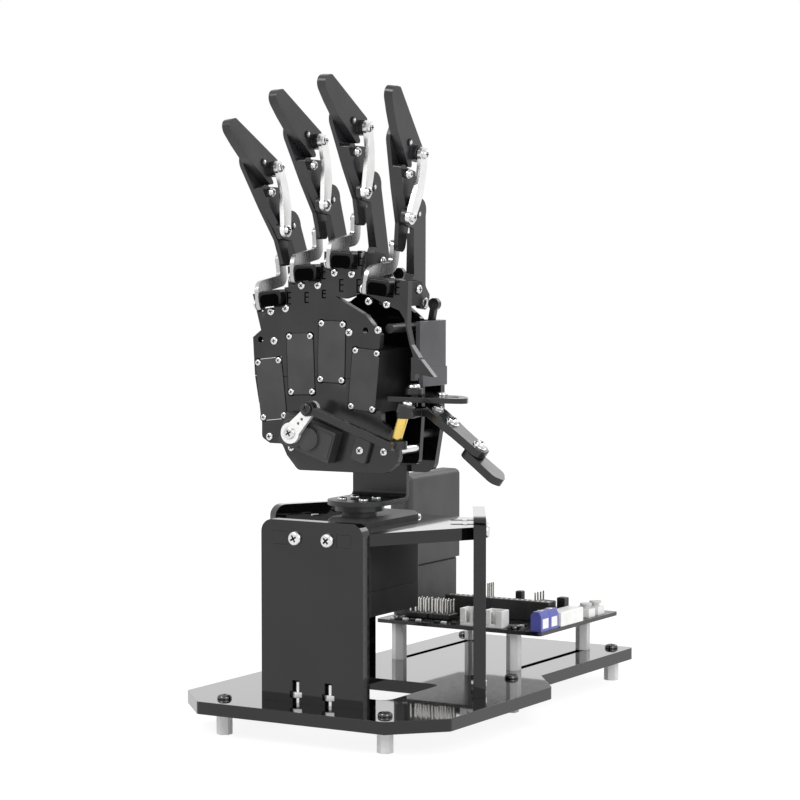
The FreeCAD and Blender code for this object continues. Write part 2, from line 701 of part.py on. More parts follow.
def palm_mid_plate():
    """Carries the servo output ends; its front face is flush with the servo cases."""
    body = body_named("palm_mid_plate")
    outline = [(-38.5, 104, 3), (-18, 92, 3), (24, 92, 3), (25.4, 112, 4), (25.4, 150, 3), (12, 160, 3),
               (-3, 160, 2), (-8, 156.5, 2), (-18, 156.5, 2), (-22, 147.5, 2), (-38.5, 147.5, 3)]
    holes = [servo_shaft(finger) + (d.micro_boss + d.palm_gap,) for finger in FINGERS]
    pad(body, d.mid_sheet, [outline], holes)
    return place(body, 0, mid_front() + d.mid_sheet, lift, UPRIGHT)


def back_plate():
    body = body_named("back_plate")
    outline = [(-26, 88, 5), (24, 88, 5), (27.5, 108, 4), (27.5, 131), (-38.5, 131), (-38.5, 108, 4)]
    holes = [(s * 8, z, d.thread_radius) for s in (-1, 1) for z in (98, 112)]
    pad(body, d.back_sheet, [outline], holes)
    return place(body, 0, d.back_front + d.back_sheet, lift, UPRIGHT)


def back_cover():
    """Open-topped shell behind the servo horns: a back wall, a short left wall, a deep right wall."""
    body = body_named("back_cover")
    wall = 2
    rear = d.back_front
    left, right, low, high = Dim.of(-40.6), Dim.of(30.4), Dim.of(131.2), Dim.of(149.5)
    outer = [(left, Dim.of(8.7)), (left, rear), (right, rear), (right, Dim.of(-3.7)),
             (right - wall, Dim.of(-3.7)), (right - wall, rear - wall), (left + wall, rear - wall),
             (left + wall, Dim.of(8.7))]
    pad(body, high - low, [outer])
    corner = float(right), float(rear)
    dress(body, "Fillet", 1.5, lambda m, v: abs(v.z) > 0.9 and abs(m.x - corner[0]) < 0.01
          and abs(m.y - corner[1]) < 0.01)
    return place(body, 0, 0, lift + low)


def palm_fasteners():
    """Stand-off pillars between the plates and the pan screws of the front face."""
    body = body_named("palm_fasteners")
    heads = [spot for group in FRONT_SCREWS.values() for spot in group]
    pad(body, d.small_head_height, circles=[(x, z, d.small_head_radius) for x, z in heads],
        at=d.palm_front)
    deep = d.palm_servo_depth - d.palm_sheet
    pillars = [(-30.9, 102.8), (22.4, 98.9), (23.2, 147), (-36.4, 143)]
    pad(body, deep, circles=[(x, z, 1.9) for x, z in pillars], at=-mid_front())
    rear = [(-34, 108), (22.5, 104), (-36.2, 119), (22.5, 119)]
    span = d.back_front - mid_front() - d.mid_sheet
    pad(body, span, circles=[(x, z, 1.9) for x, z in rear], at=-d.back_front)
    clamps = [(s * 8, z) for s in (-1, 1) for z in (98, 112)]
    pad(body, 1.6, circles=[(x, z, 2.6) for x, z in clamps], at=-d.back_front - d.back_sheet - 1.6)
    return place(body, 0, 0, lift, UPRIGHT)


# Servos in the palm
def micro_case(body, outline, boss, front):
    """A small servo with its bottom at y = -front and its shaft towards +y."""
    top = front - d.palm_servo_depth
    pad(body, d.palm_servo_depth, [outline], at=top)
    pad(body, d.micro_boss_height - 0.5, circles=[boss + (d.micro_boss,)], at=top - d.micro_boss_height + 0.5)
    reach = d.micro_boss_height + d.arm_thickness
    pad(body, reach, circles=[boss + (d.micro_spline,)], at=top - reach)


def finger_servos():
    body = body_named("finger_servos")
    for finger in FINGERS:
        micro_case(body, servo_box(finger, Dim.of(0)), servo_shaft(finger), d.palm_front)
    return place(body, 0, 0, lift, UPRIGHT)


def thumb_servo():
    body = body_named("thumb_servo")
    face = d.thumb_servo_face
    pad(body, d.palm_servo_depth, [thumb_servo_box(Dim.of(0))], at=face - d.palm_servo_depth)
    spot = (d.thumb_servo_x, d.thumb_servo_z)
    pad(body, 1.4, circles=[spot + (d.micro_boss,)], at=face)
    pad(body, 1.6 + d.arm_thickness, circles=[spot + (d.micro_spline,)], at=face)
    return place(body, 0, 0, lift, UPRIGHT)


# Fingers
class Finger:
    """Places pieces given in a finger's side view: x to the rear, y along the finger, z across."""

    def __init__(self, name):
        self.name = name
        for field in FINGER_FIELDS:
            setattr(self, field, getattr(d, name + "_" + field))
        self.knuckle = (d.knuckle_depth, d.knuckle_rise)
        self.first = self.turned(self.knuckle, d.proximal_reach, d.proximal_rise, 1)
        self.second = self.turned(self.first, d.middle_reach, d.middle_rise, 1 + MIDDLE_RATIO)

    def turned(self, pivot, dx, dy, share):
        """The point (dx, dy) from the pivot, after this finger's own rest curl."""
        c, s = cosd(self.curl * share), sind(self.curl * share)
        return pivot[0] + dx * c - dy * s, pivot[1] + dy * c + dx * s

    def place(self, body, point, across, share):
        """Puts a body's origin at a side-view point, turned by its share of the curl."""
        depth, rise = point
        x = self.knuckle_x + across * cosd(self.splay) + rise * sind(self.splay)
        z = lift + self.knuckle_z - across * sind(self.splay) + rise * cosd(self.splay)
        side = FreeCAD.Rotation(V(0, 1, 0), V(0, 0, 1), V(1, 0, 0), "ZXY")
        lean = FreeCAD.Rotation(V(0, 1, 0), self.splay.value)
        curl = FreeCAD.Rotation(V(0, 0, 1), self.curl.value * share)
        return place(body, x, depth, z, lean.multiply(side).multiply(curl))


MIDDLE_RATIO = 1.1
DISTAL_RATIO = 1.1
DRIVE_LINK_RATIO = 0.5
CURL_LINK_RATIO = 1.02 * MIDDLE_RATIO


def rod_pin(body, x, y, radius, length, at):
    pad(body, length, circles=[(x, y, radius)], at=at)


def proximal_levels():
    """Left face of the thickening block, left face and right face of the plate."""
    plate = d.distal_thickness / 2 + d.finger_gap
    return plate - d.proximal_block, plate, plate + d.proximal_plate


def proximal(f):
    body = body_named(f.name + "_proximal")
    block, plate, face = proximal_levels()
    top_x, top_y = d.proximal_reach, d.proximal_rise
    foot_x, foot_y = top_x + d.curl_foot_x, top_y + d.curl_foot_y
    round_end = 6.2
    lever = (d.lever_x, d.lever_y)
    outline = [(-3.4, -3.4, 3.2), (-3.4, 2.5), (-1.6, 5.5), (top_x - 1.6, top_y - 6),
               (foot_x - 2.4, foot_y - 2.9, 2.4), (foot_x - 2.6, foot_y + 2.8, 2.6),
               (top_x - round_end, top_y + 1.5), (top_x - round_end, top_y + round_end, 5.6),
               (top_x + round_end, top_y + round_end, 5.6), (top_x + round_end, top_y, 3),
               (8.6, 1.5, 3), (lever[0] + 3, lever[1] + 3.4, 2), (lever[0] + 2.9, lever[1] - 2.8, 2.6),
               (lever[0] - 2.8, lever[1] - 2.6, 2.2), (3.2, -3.6)]
    fit = d.pivot_radius + d.fit_clearance
    holes = [(0, 0, fit), (top_x, top_y, fit), (foot_x, foot_y, fit)]
    pad(body, d.proximal_plate, [outline], holes, at=plate)
    thick = [(-3.4, -3.4, 3.2), (-3.4, 2.5), (-1.6, 5.5), (top_x, top_y - 8), (top_x + 9.5, top_y - 8),
             (8.6, 1.5, 2), (7.0, -3.6)]
    pad(body, d.proximal_block, [thick], [(0, 0, fit)], at=block)
    # Ball stud for the push rod on the lever end
    rod_pin(body, lever[0], lever[1], d.pivot_radius, d.finger_gap * 3, face)
    return f.place(body, f.knuckle, Dim.of(0), 1)


def middle(f):
    body = body_named(f.name + "_middle")
    right = d.distal_thickness / 2
    left = right - d.middle_block
    jx, jy = d.middle_reach, d.middle_rise
    tail = (d.drive_head_x, d.drive_head_y)
    side = [(tail[0] - 3.2, tail[1] - 2.6, 2.4), (tail[0] + 2.6, tail[1] - 2.6, 2.4), (5.2, -1.5),
            (5.2, 3.2, 3), (-2.2, 12.6, 3), (jx + 5.5, jy - 5, 3), (jx + 5.5, jy + 5.6, 3.6),
            (jx - 7.6, jy + 5.6, 3), (jx - 9.2, jy, 5), (-11.0, 7.5, 8), (-2.6, -5)]
    # The left plate lies beside the block and the distal plate
    pad(body, d.middle_left_plate, [side], at=left - d.middle_left_plate)
    block = [(-1.8, -5.2, 3), (5.2, -5.2, 4), (5.2, 4.0, 3), (-2.8, 12.6, 2), (-3.8, 15.8, 1),
             (-10.4, 16.0), (-13.6, 16.8, 1), (-15.9, 15.6, 1), (-11.0, 7.5, 6)]
    pad(body, d.middle_block - d.finger_gap / 2, [block], at=left)
    plate = d.proximal_plate + d.finger_gap * 2
    rod_pin(body, 0, 0, d.pivot_radius, plate + d.finger_gap * 4, right - d.finger_gap / 2)
    rod_pin(body, jx, jy, d.pivot_radius, d.distal_thickness + d.finger_gap * 4, -right - d.finger_gap)
    # Clamp screw boss near the top of the block
    rod_pin(body, -11.6, 13.6, 1.7, 1.6, right - d.finger_gap / 2)
    # Spacer that carries the drive link beside the tail
    rod_pin(body, tail[0], tail[1], 1.9, Dim.of(0) - drive_level() - d.link_sheet + left
            - d.middle_left_plate - d.finger_gap, drive_level() + d.link_sheet + d.finger_gap)
    return f.place(body, f.first, Dim.of(0), 1 + MIDDLE_RATIO)


def drive_level():
    """Left face of the S-shaped drive link, across the finger."""
    return Dim.of(0) - d.cap_left - d.finger_gap - d.link_sheet


def distal(f):
    body = body_named(f.name + "_distal")
    half = d.distal_thickness / 2
    head = (d.curl_head_x, d.curl_head_y)
    outline = [(-2.4, -4.4, 3), (-6.5, -1.6, 8), (-11.0, 1.6, 12), (-16.3, 6.9, 12), (-20.7, 12.0, 5),
               (-21.8, 16.4, 3), (-16.3, 17.4, 1.6), (head[0] + 5.0, head[1] + 3.6, 1),
               (head[0] + 4.2, head[1] - 3.2, 2.5), (4.4, -5.8), (6.2, -8.6, 0.9), (3.2, -8.9, 0.9)]
    fit = d.pivot_radius + d.fit_clearance
    pad(body, d.distal_thickness, [outline], [(0, 0, fit)], at=-half)
    rod_pin(body, head[0], head[1], 3.0, d.proximal_plate, half)
    return f.place(body, f.second, Dim.of(0), 1 + MIDDLE_RATIO + DISTAL_RATIO)


def curl_link(f):
    """Curved side link from the proximal lug to the distal boss."""
    body = body_named(f.name + "_curl_link")
    level = proximal_levels()[2] + d.finger_gap
    span_x = d.middle_reach + d.curl_head_x - d.curl_foot_x
    span_y = d.middle_rise + d.curl_head_y - d.curl_foot_y
    bow = [(-2.2, 0.6), (-1.3, 9, 12), (-0.4, 16, 12), (span_x - 1.9, span_y - 1.6),
           (span_x + 2.2, span_y + 0.8), (span_x + 4.0, span_y - 7, 9), (4.6, 9, 10), (2.6, -0.4)]
    pad(body, d.link_sheet, circles=[(0, 0, d.boss_radius)], at=level)
    pad(body, d.link_sheet, [bow], at=level)
    pad(body, d.link_sheet, circles=[(span_x, span_y, d.boss_radius)], at=level)
    reach = d.finger_gap + d.proximal_plate
    rod_pin(body, 0, 0, d.pivot_radius, reach, level - reach)
    foot = f.turned(f.first, d.curl_foot_x, d.curl_foot_y, 1)
    return f.place(body, foot, Dim.of(0), 1 + CURL_LINK_RATIO)


def drive_link(f):
    """S-shaped side link from the knuckle cap to the middle phalanx's tail."""
    body = body_named(f.name + "_drive_link")
    foot_x, foot_y = d.drive_foot_x, d.drive_foot_y
    head_x = d.knuckle_depth + d.proximal_reach + d.drive_head_x - foot_x
    head_y = d.knuckle_rise + d.proximal_rise + d.drive_head_y - foot_y
    outline = [(-2.4, -2.4, 2.2), (2.4, -2.4, 2.2), (2.0, 4.6, 2), (head_x + 2.4, 7.4, 5),
               (head_x + 2.4, head_y + 2.4, 2.2), (head_x - 2.4, head_y + 2.4, 2.2),
               (head_x - 2.4, 11.4, 1.6), (-2.0, 9.0, 5)]
    pad(body, d.link_sheet, [outline], [(0, 0, d.pivot_radius + d.fit_clearance)], at=drive_level())
    point = (foot_x, foot_y)
    return f.place(body, point, Dim.of(0), DRIVE_LINK_RATIO)


def knuckle_blocks():
    """Four blocks: a rounded cap on the palm's front edge, two lugs and the knuckle pin."""
    pieces = []
    for name in FINGERS:
        f = Finger(name)
        pieces.append(knuckle_block(f))
    feature = doc.addObject("Part::Feature", "knuckle_blocks")
    feature.Shape = Part.makeCompound(pieces)
    return feature


def side_box(x0, x1, y0, y1, z0, z1):
    values = [float(v) for v in (x0, x1, y0, y1, z0, z1)]
    corner = V(values[0], values[2], values[4])
    return Part.makeBox(values[1] - values[0], values[3] - values[2], values[5] - values[4], corner)


def knuckle_block(f):
    """In side-view axes: x to the rear, y up the finger, z across."""
    block, plate, face = [float(v) for v in proximal_levels()]
    half = float(d.cap_half_height)
    left, right = -float(d.cap_left), float(d.cap_right)
    front = -float(d.cap_front)
    back = -float(d.palm_front) + float(d.palm_sheet)
    cap = side_box(front, back, -half, half, left, right)
    cap = cap.makeFillet(2.2, [e for e in cap.Edges if abs(e.CenterOfMass.x - (front + back) / 2) < 0.01])
    cap = cap.makeFillet(0.8, [e for e in cap.Edges if abs(e.CenterOfMass.x - front) < 0.01])
    lug = float(d.lug_thickness)
    gap = float(d.finger_gap)
    pivot_x, pivot_y = float(d.knuckle_depth), float(d.knuckle_rise)
    floor = pivot_y - 6.5
    web = side_box(back, -9, floor, half, block - gap - lug, face + gap + lug)
    shape = cap.fuse(web)
    for z in (block - gap - lug, face + gap):
        ear = side_box(-9.5, pivot_x + 3.2, floor, pivot_y + 3.4, z, z + lug)
        corner = [e for e in ear.Edges if abs(e.CenterOfMass.x - pivot_x - 3.2) < 0.01
                  and abs(e.CenterOfMass.z - z - lug / 2) < 0.01]
        shape = shape.fuse(ear.makeFillet(2.6, corner))
    start = V(pivot_x, pivot_y, block - gap - lug)
    pin = Part.makeCylinder(float(d.pivot_radius), face - block + 2 * gap + 2 * lug, start)
    shape = shape.fuse(pin)
    # Pin for the drive link, on the left end of the cap
    foot = V(float(d.drive_foot_x), float(d.drive_foot_y), float(drive_level()) - 0.4)
    stub = Part.makeCylinder(float(d.pivot_radius), left - foot.z + 0.5, foot)
    shape = shape.fuse(stub).removeSplitter()
    side = FreeCAD.Rotation(V(0, 1, 0), V(0, 0, 1), V(1, 0, 0), "ZXY")
    lean = FreeCAD.Rotation(V(0, 1, 0), f.splay.value)
    base = V(f.knuckle_x.value, 0, float(lift) + f.knuckle_z.value)
    shape.transformShape(FreeCAD.Placement(base, lean.multiply(side)).toMatrix())
    return shape


# Servo arms and push rods of the fingers
def arm_plane():
    """Front face of a servo arm, measured from the pan axis towards the back."""
    return mid_front() + d.micro_boss_height


def servo_arm(f):
    body = body_named(f.name + "_servo_arm")
    reach = d.arm_length
    pad(body, d.arm_thickness, [[(0, -2.6), (reach, -1.7), (reach, 1.7), (0, 2.6)]])
    pad(body, d.arm_thickness, circles=[(0, 0, d.arm_hub_radius)])
    pad(body, d.arm_thickness, circles=[(reach, 0, d.arm_end_radius)])
    cut(body, d.arm_thickness, circles=[(0, 0, d.micro_spline + d.fit_clearance)])
    rod_pin(body, reach, 0, d.link_pin_radius, d.arm_thickness + d.rod_sheet, -d.rod_sheet)
    x, z = servo_shaft(f.name)
    turn = FreeCAD.Rotation(V(0, 1, 0), float(d.arm_rest_angle)).multiply(UPRIGHT)
    return place(body, x, arm_plane() + d.arm_thickness, lift + z, turn)


def lever_point(f):
    """World x, y and z of the lever's ball stud."""
    depth, rise = f.turned(f.knuckle, d.lever_x, d.lever_y, 1)
    across = proximal_levels()[2] + ROD_SIDE_GAP + d.rod_eye_radius
    x = f.knuckle_x + across * cosd(f.splay) + rise * sind(f.splay)
    z = f.knuckle_z - across * sind(f.splay) + rise * cosd(f.splay)
    return x, depth, z


ROD_SIDE_GAP = 1.5


def push_rod(f):
    """From the servo arm's pin up to the lever's ball stud, an eye at each end."""
    body = body_named(f.name + "_push_rod")
    shaft_x, shaft_z = servo_shaft(f.name)
    arm = d.arm_rest_angle
    x0 = shaft_x + d.arm_length * cosd(arm)
    z0 = shaft_z - d.arm_length * sind(arm)
    x1, y1, z1 = lever_point(f)
    run, rise = float(x1 - x0), float(z1 - z0)
    length = Dim.of(math.hypot(run, rise))
    eye = d.rod_eye_radius
    sheet = d.rod_sheet
    pad(body, sheet, circles=[(0, 0, eye)])
    cut(body, sheet, circles=[(0, 0, d.link_pin_radius + d.fit_clearance)])
    pad(body, sheet, [box(-d.rod_radius, eye - 0.4, d.rod_radius, length - eye + 0.4)])
    pad(body, sheet, circles=[(0, length, eye)])
    angle = math.degrees(math.atan2(run, rise))
    turn = FreeCAD.Rotation(V(0, 1, 0), angle).multiply(UPRIGHT)
    return place(body, x0, arm_plane() + d.arm_thickness + d.rod_sheet, lift + z0, turn)


# Thumb
def thumb_arm_end():
    x = d.thumb_servo_x + d.thumb_arm_length * cosd(d.thumb_arm_angle)
    z = d.thumb_servo_z + d.thumb_arm_length * sind(d.thumb_arm_angle)
    return x, z


def thumb_horn():
    body = body_named("thumb_servo_arm")
    reach = d.thumb_arm_length
    pad(body, d.arm_thickness, [[(0, -3.4), (reach, -2.1), (reach, 2.1), (0, 3.4)]])
    pad(body, d.arm_thickness, circles=[(0, 0, 4.2)])
    pad(body, d.arm_thickness, circles=[(reach, 0, 2.9)])
    cut(body, d.arm_thickness, circles=[(0, 0, d.micro_spline + d.fit_clearance)])
    cut(body, d.arm_thickness, circles=[(x, 0, 0.6) for x in (5.6, 8.0, 10.4)])
    rod_pin(body, reach, 0, d.link_pin_radius, 3.6, d.arm_thickness)
    turn = FreeCAD.Rotation(V(0, 1, 0), -float(d.thumb_arm_angle)).multiply(UPRIGHT)
    return place(body, d.thumb_servo_x, -d.thumb_servo_face - 1.6, lift + d.thumb_servo_z, turn)


def thumb_rod_plane():
    return d.thumb_servo_face + 1.6 + d.arm_thickness + d.finger_gap


def lever_ball():
    """Foot of the thumb lever's post: world x, y and the height above the base plate."""
    return d.thumb_axis_x + d.thumb_lever_x, d.thumb_axis_y + d.thumb_lever_y, d.thumb_level - 10.5


def thumb_rod():
    """Straight bar from the servo arm to an upright ring round the lever's neck."""
    body = body_named("thumb_rod_bar")
    x0, z0 = thumb_arm_end()
    x1, y1, z1 = lever_ball()
    run, rise = float(x1 - x0), float(z1 - z0)
    length = Dim.of(math.hypot(run, rise))
    thick = d.ring_height
    pad(body, thick, circles=[(0, 0, 3.0)])
    pad(body, thick, [box(2.0, -1.5, length + 1.5, 1.5)])
    cut(body, thick, circles=[(0, 0, d.link_pin_radius + d.fit_clearance)])
    turn = FreeCAD.Rotation(V(0, 1, 0), -math.degrees(math.atan2(rise, run))).multiply(UPRIGHT)
    place(body, x0, -thumb_rod_plane(), lift + z0, turn)
    ring = cylinder("thumb_rod_ring", d.ring_outer, thick, x1, y1 + d.ring_shift, lift + z1 - thick / 2)
    blank = fused("thumb_rod_blank", [body, ring])
    bore = cylinder("thumb_rod_bore", d.ring_inner, thick * 2, x1, y1 + d.ring_shift, lift + z1 - thick)
    result = doc.addObject("Part::Cut", "thumb_rod")
    result.Base = blank
    result.Tool = bore
    doc.recompute()
    return result


def cylinder(label, radius, height, x, y, z):
    """A bound cylinder along Z."""
    solid = doc.addObject("Part::Cylinder", label)
    for name, value in (("Radius", radius), ("Height", height)):
        value = Dim.of(value)
        setattr(solid, name, value.value)
        solid.setExpression(name, value.text)
    place(solid, x, y, z)
    return solid


def fused(label, solids):
    result = doc.addObject("Part::MultiFuse", label)
    result.Shapes = solids
    result.Label = label
    doc.recompute()
    return result


def thumb_bracket_and_axis():
    """Fixed thumb bracket: a pointed shelf on the palm's right side with the thumb's axle."""
    x, y = d.thumb_axis_x, d.thumb_axis_y
    body = body_named("thumb_bracket")
    pad(body, 2, [[(21.5, -15), (39.5, -15), (46, -16.5, 2), (63, 1, 1.5), (46, 5.5, 3), (21.5, 6)]],
        [(x, y, d.pivot_radius + d.fit_clearance)], at=lift + d.thumb_level + 5.4)
    return body


def thumb_carrier():
    """Lever, ball post and the sloping thumb plate, turning on an upright axle."""
    x, y = d.thumb_axis_x, d.thumb_axis_y
    bx, by, bz = lever_ball()
    level = lift + d.thumb_level
    body = body_named("thumb_carrier_lever")
    dx, dy = d.thumb_lever_x, d.thumb_lever_y
    pad(body, d.thumb_plate, circles=[(0, 0, 5.2)])
    pad(body, d.thumb_plate, [[(-4.4, 1.5), (dx - 3.2, dy - 3.2, 3), (dx + 3.2, dy - 3.2, 3), (4.4, 1.5)]])
    pad(body, d.thumb_plate, [box(0, -5.2, d.thumb_bend, 5.2)])
    place(body, x, y, level)
    pin = cylinder("thumb_axle", d.pivot_radius, d.thumb_plate + 8.0, x, y, level - 0.5)
    above = d.ring_height / 2 + d.finger_gap * 4
    post = cylinder("thumb_post", d.thumb_post_radius, d.thumb_level - bz - above + 1, bx, by,
                    lift + bz + above)
    collar = cylinder("thumb_collar", 3.4, 3.0, bx, by, level + d.thumb_plate - 0.1)
    neck = cylinder("thumb_neck", d.thumb_neck_radius, above * 2 + 1, bx, by, lift + bz - above)
    plate = sloped_plate("thumb_plate_body", d.thumb_length)
    return fused("thumb_carrier", [body, pin, post, collar, neck, plate])


def sloped_plate(label, length):
    """The thumb's main plate, sloping down to the right of the axle."""
    body = body_named(label)
    half = d.thumb_width / 2
    outline = [(-4, -half, 3), (length, -half * 0.7, 3), (length, half * 0.7, 3), (-4, half, 3)]
    pad(body, d.thumb_plate, [outline], [(length - 4, 0, d.pivot_radius + d.fit_clearance)])
    turn = FreeCAD.Rotation(V(0, 1, 0), float(d.thumb_slope))
    return place(body, d.thumb_axis_x + d.thumb_bend, d.thumb_axis_y, lift + d.thumb_level, turn)


def thumb_tip_frame():
    """The tip pivot's place: near the end of the sloping plate, under it."""
    along = d.thumb_length - 4
    slope = d.thumb_slope
    x = d.thumb_axis_x + d.thumb_bend + along * cosd(slope)
    z = lift + d.thumb_level - along * sind(slope)
    return x, z


def thumb_tip():
    body = body_named("thumb_tip")
    reach = d.thumb_tip_length
    under = -d.thumb_plate - d.finger_gap
    outline = [(-4, -4.0, 3.5), (reach - 3, -5.0, 3), (reach, -1.0, 2.5), (reach - 4, 4.5, 3), (-4, 4.0, 3.5)]
    pad(body, d.thumb_plate, [outline], at=under)
    rod_pin(body, 0, 0, d.pivot_radius, d.thumb_plate + d.finger_gap * 2, -d.finger_gap * 2)
    x, z = thumb_tip_frame()
    turn = FreeCAD.Rotation(V(0, 1, 0), float(d.thumb_slope))
    return place(body, x, d.thumb_axis_y, z, turn)


# Control board and what it carries
def board_surface():
    return lift + d.board_level + d.board_thickness


def control_board():
    body = body_named("control_board")
    holes = [(x, y, d.board_hole) for x, y in board_posts()]
    pad(body, d.board_thickness, [box(-d.board_left, d.board_front, d.board_right, d.board_rear, 1.5)],
        holes, at=lift + d.board_level)
    return body


def blocks(label, boxes, cutouts=()):
    """Rectangular housings on the board: (x0, y0, x1, y1, height)."""
    body = body_named(label)
    for x0, y0, x1, y1, height in boxes:
        pad(body, height, [box(x0, y0, x1, y1)], at=board_surface())
    for x0, y0, x1, y1, bottom, height in cutouts:
        cut(body, height, [box(x0, y0, x1, y1)], at=board_surface() + bottom)
    return body


BUTTONS = {"front": (38.5, 124.0), "rear": (38.5, 133.0)}


def board_connectors():
    boxes = [(-22, 83, -11.8, 85.5, 2.5), (-22, 88, -11.8, 90.5, 2.5), (-9, 83, 1.2, 85.5, 2.5),
             (-9, 88, 1.2, 90.5, 2.5), (-18, 100, 34, 105, 8.5), (4.5, 73.6, 12, 80, 7.5),
             (16.2, 73.6, 24.6, 80, 7.5), (31.4, 73.6, 35.4, 84, 8), (20, 112, 27, 118, 7),
             (37, 88, 43.3, 102, 7.5), (30, 91, 36, 98.4, 9), (-22, 134, -11.8, 136.5, 2.5)]
    cuts = [(5.7, 73, 10.8, 78.8, 1.2, 5.0), (17.4, 73, 23.4, 78.8, 1.2, 5.0), (42, 89, 44, 101, 1.2, 5.0)]
    return blocks("board_connectors", boxes, cuts)


def terminal_block():
    boxes = [(35.9, 73.6, 43.2, 85.4, 10)]
    cuts = [(40, 74.8, 44, 78.8, 1.5, 4.5), (40, 80.2, 44, 84.2, 1.5, 4.5)]
    return blocks("terminal_block", boxes, cuts)


def button_bodies():
    boxes = [(x - 3, y - 3, x + 3, y + 3, 3.6) for x, y in BUTTONS.values()]
    body = blocks("button_bodies", boxes)
    wells = [(x, y, 1.8) for x, y in BUTTONS.values()]
    cut(body, 2.6, circles=wells, at=board_surface() + 1.0)
    return body


def key_button(name):
    body = body_named("key_button_" + name)
    x, y = BUTTONS[name]
    pad(body, 4.1, circles=[(x, y, 1.74)], at=board_surface() + 1.5)
    pad(body, 0.9, circles=[(x, y, 2.6)], at=board_surface() + 5.0)
    return body


# Rear box: two shells with a groove between them, standing on the board
def rear_box(label, low, high, inset):
    body = body_named(label)
    outline = box(-d.box_left + inset, d.box_front + inset, -d.box_right - inset, d.box_rear - inset,
                  d.box_round)
    pad(body, high - low, [outline], at=low)
    return body


def battery_box():
    split = lift + d.box_split
    lower = rear_box("battery_box_lower", board_surface(), split, d.box_step)
    upper = rear_box("battery_box_upper", split, lift + d.box_top, Dim.of(0))
    level = float(lift + d.box_top)
    dress(upper, "Fillet", 2.5, lambda m, v: abs(m.z - level) < 0.01)
    rim = d.box_step * 2
    outer = box(-d.box_left - 1, d.box_front - 1, -d.box_right + 1, d.box_rear + 1)
    inner = box(-d.box_left + rim, d.box_front + rim, -d.box_right - rim, d.box_rear - rim)
    cut(upper, d.box_groove, [outer, inner], at=split)
    return [lower, upper]


def build_all():
    nodes = [base_plate(), hex_standoffs(), stand_plate("stand_front_plate", 0),
             stand_plate("stand_right_plate", 1), stand_plate("stand_left_plate", 2),
             stand_top_plate(), frame_fasteners(), pan_servo(), control_board(), board_connectors(),
             terminal_block(), button_bodies(), key_button("front"), key_button("rear")]
    nodes += battery_box()
    nodes += [pan_horn(), wrist_bracket(),
              front_plate("palm_upper_plate", upper_outline(), FRONT_SCREWS["upper"]),
              front_plate("palm_lower_plate", lower_outline(), FRONT_SCREWS["lower"]), palm_mid_plate(),
              back_plate(), back_cover(), finger_servos(), thumb_servo(), palm_fasteners(), knuckle_blocks(),
              thumb_bracket_and_axis()]
    for name in FINGERS:
        f = Finger(name)
        nodes += [proximal(f), middle(f), distal(f), curl_link(f), drive_link(f), servo_arm(f), push_rod(f)]
    nodes += [thumb_horn(), thumb_rod(), thumb_carrier(), thumb_tip()]
    return nodes


def check_and_write(nodes):
    doc.recompute()
    for item in doc.Objects:
        if "Invalid" in item.State or "Error" in item.State:
            raise RuntimeError("%s failed: %s" % (item.Label, item.State))
    os.makedirs("parts", exist_ok=True)
    for node in nodes:
        if node.Shape.isNull() or not node.Shape.isValid():
            raise RuntimeError(node.Label + " has no valid shape")
        node.Shape.exportStep("parts/%s.step" % node.Label)
    print(len(nodes), "sub-parts written")


check_and_write(build_all())
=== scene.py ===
import json
import math

import bmesh
import bpy
from bpy.props import FloatProperty, FloatVectorProperty, IntProperty, PointerProperty
from mathutils import Matrix, Vector


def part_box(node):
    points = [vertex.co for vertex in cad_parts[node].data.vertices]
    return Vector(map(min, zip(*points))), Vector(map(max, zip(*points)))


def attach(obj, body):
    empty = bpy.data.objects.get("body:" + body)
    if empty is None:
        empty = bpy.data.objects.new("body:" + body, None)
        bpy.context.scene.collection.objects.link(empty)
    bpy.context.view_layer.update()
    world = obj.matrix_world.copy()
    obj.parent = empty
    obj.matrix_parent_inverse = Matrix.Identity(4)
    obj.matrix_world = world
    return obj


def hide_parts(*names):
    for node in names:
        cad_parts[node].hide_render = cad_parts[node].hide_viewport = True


bl_info = {
    "name": "Desktop Robot Hand",
    "version": (1, 0, 0),
    "blender": (4, 5, 0),
    "location": "View3D > Sidebar > Robot Hand",
    "description": "Dresses a desktop robot hand with its screws, connectors and finishes",
    "category": "Add Mesh",
}

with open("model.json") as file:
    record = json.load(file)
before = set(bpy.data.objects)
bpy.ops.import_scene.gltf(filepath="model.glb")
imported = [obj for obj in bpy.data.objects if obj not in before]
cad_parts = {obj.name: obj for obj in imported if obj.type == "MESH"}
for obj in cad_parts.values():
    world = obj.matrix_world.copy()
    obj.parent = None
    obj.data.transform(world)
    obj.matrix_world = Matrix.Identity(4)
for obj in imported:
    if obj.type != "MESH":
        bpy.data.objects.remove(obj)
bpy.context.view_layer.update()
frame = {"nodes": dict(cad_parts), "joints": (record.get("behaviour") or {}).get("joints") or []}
JOINTS = {joint["name"]: joint for joint in frame["joints"]}
MM = 0.001
FINGERS = ("little", "ring", "middle", "index")
BASE_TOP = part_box("base_plate")[1].z
BOARD_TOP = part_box("control_board")[1].z
FORWARD, BACKWARD = Vector((0, -1, 0)), Vector((0, 1, 0))
UPWARD, DOWNWARD = Vector((0, 0, 1)), Vector((0, 0, -1))
UPRIGHT = Matrix.Rotation(math.radians(90), 4, "X")
SHANK = 1.5
HEADER_PITCH = 2.54


# Settings shown in the sidebar
def length_setting(name, description, millimetres):
    return FloatProperty(name=name, description=description, default=millimetres * MM, unit="LENGTH")


def colour_setting(name, description, red, green, blue):
    return FloatVectorProperty(name=name, description=description, subtype="COLOR", size=3,
                               default=(red, green, blue))


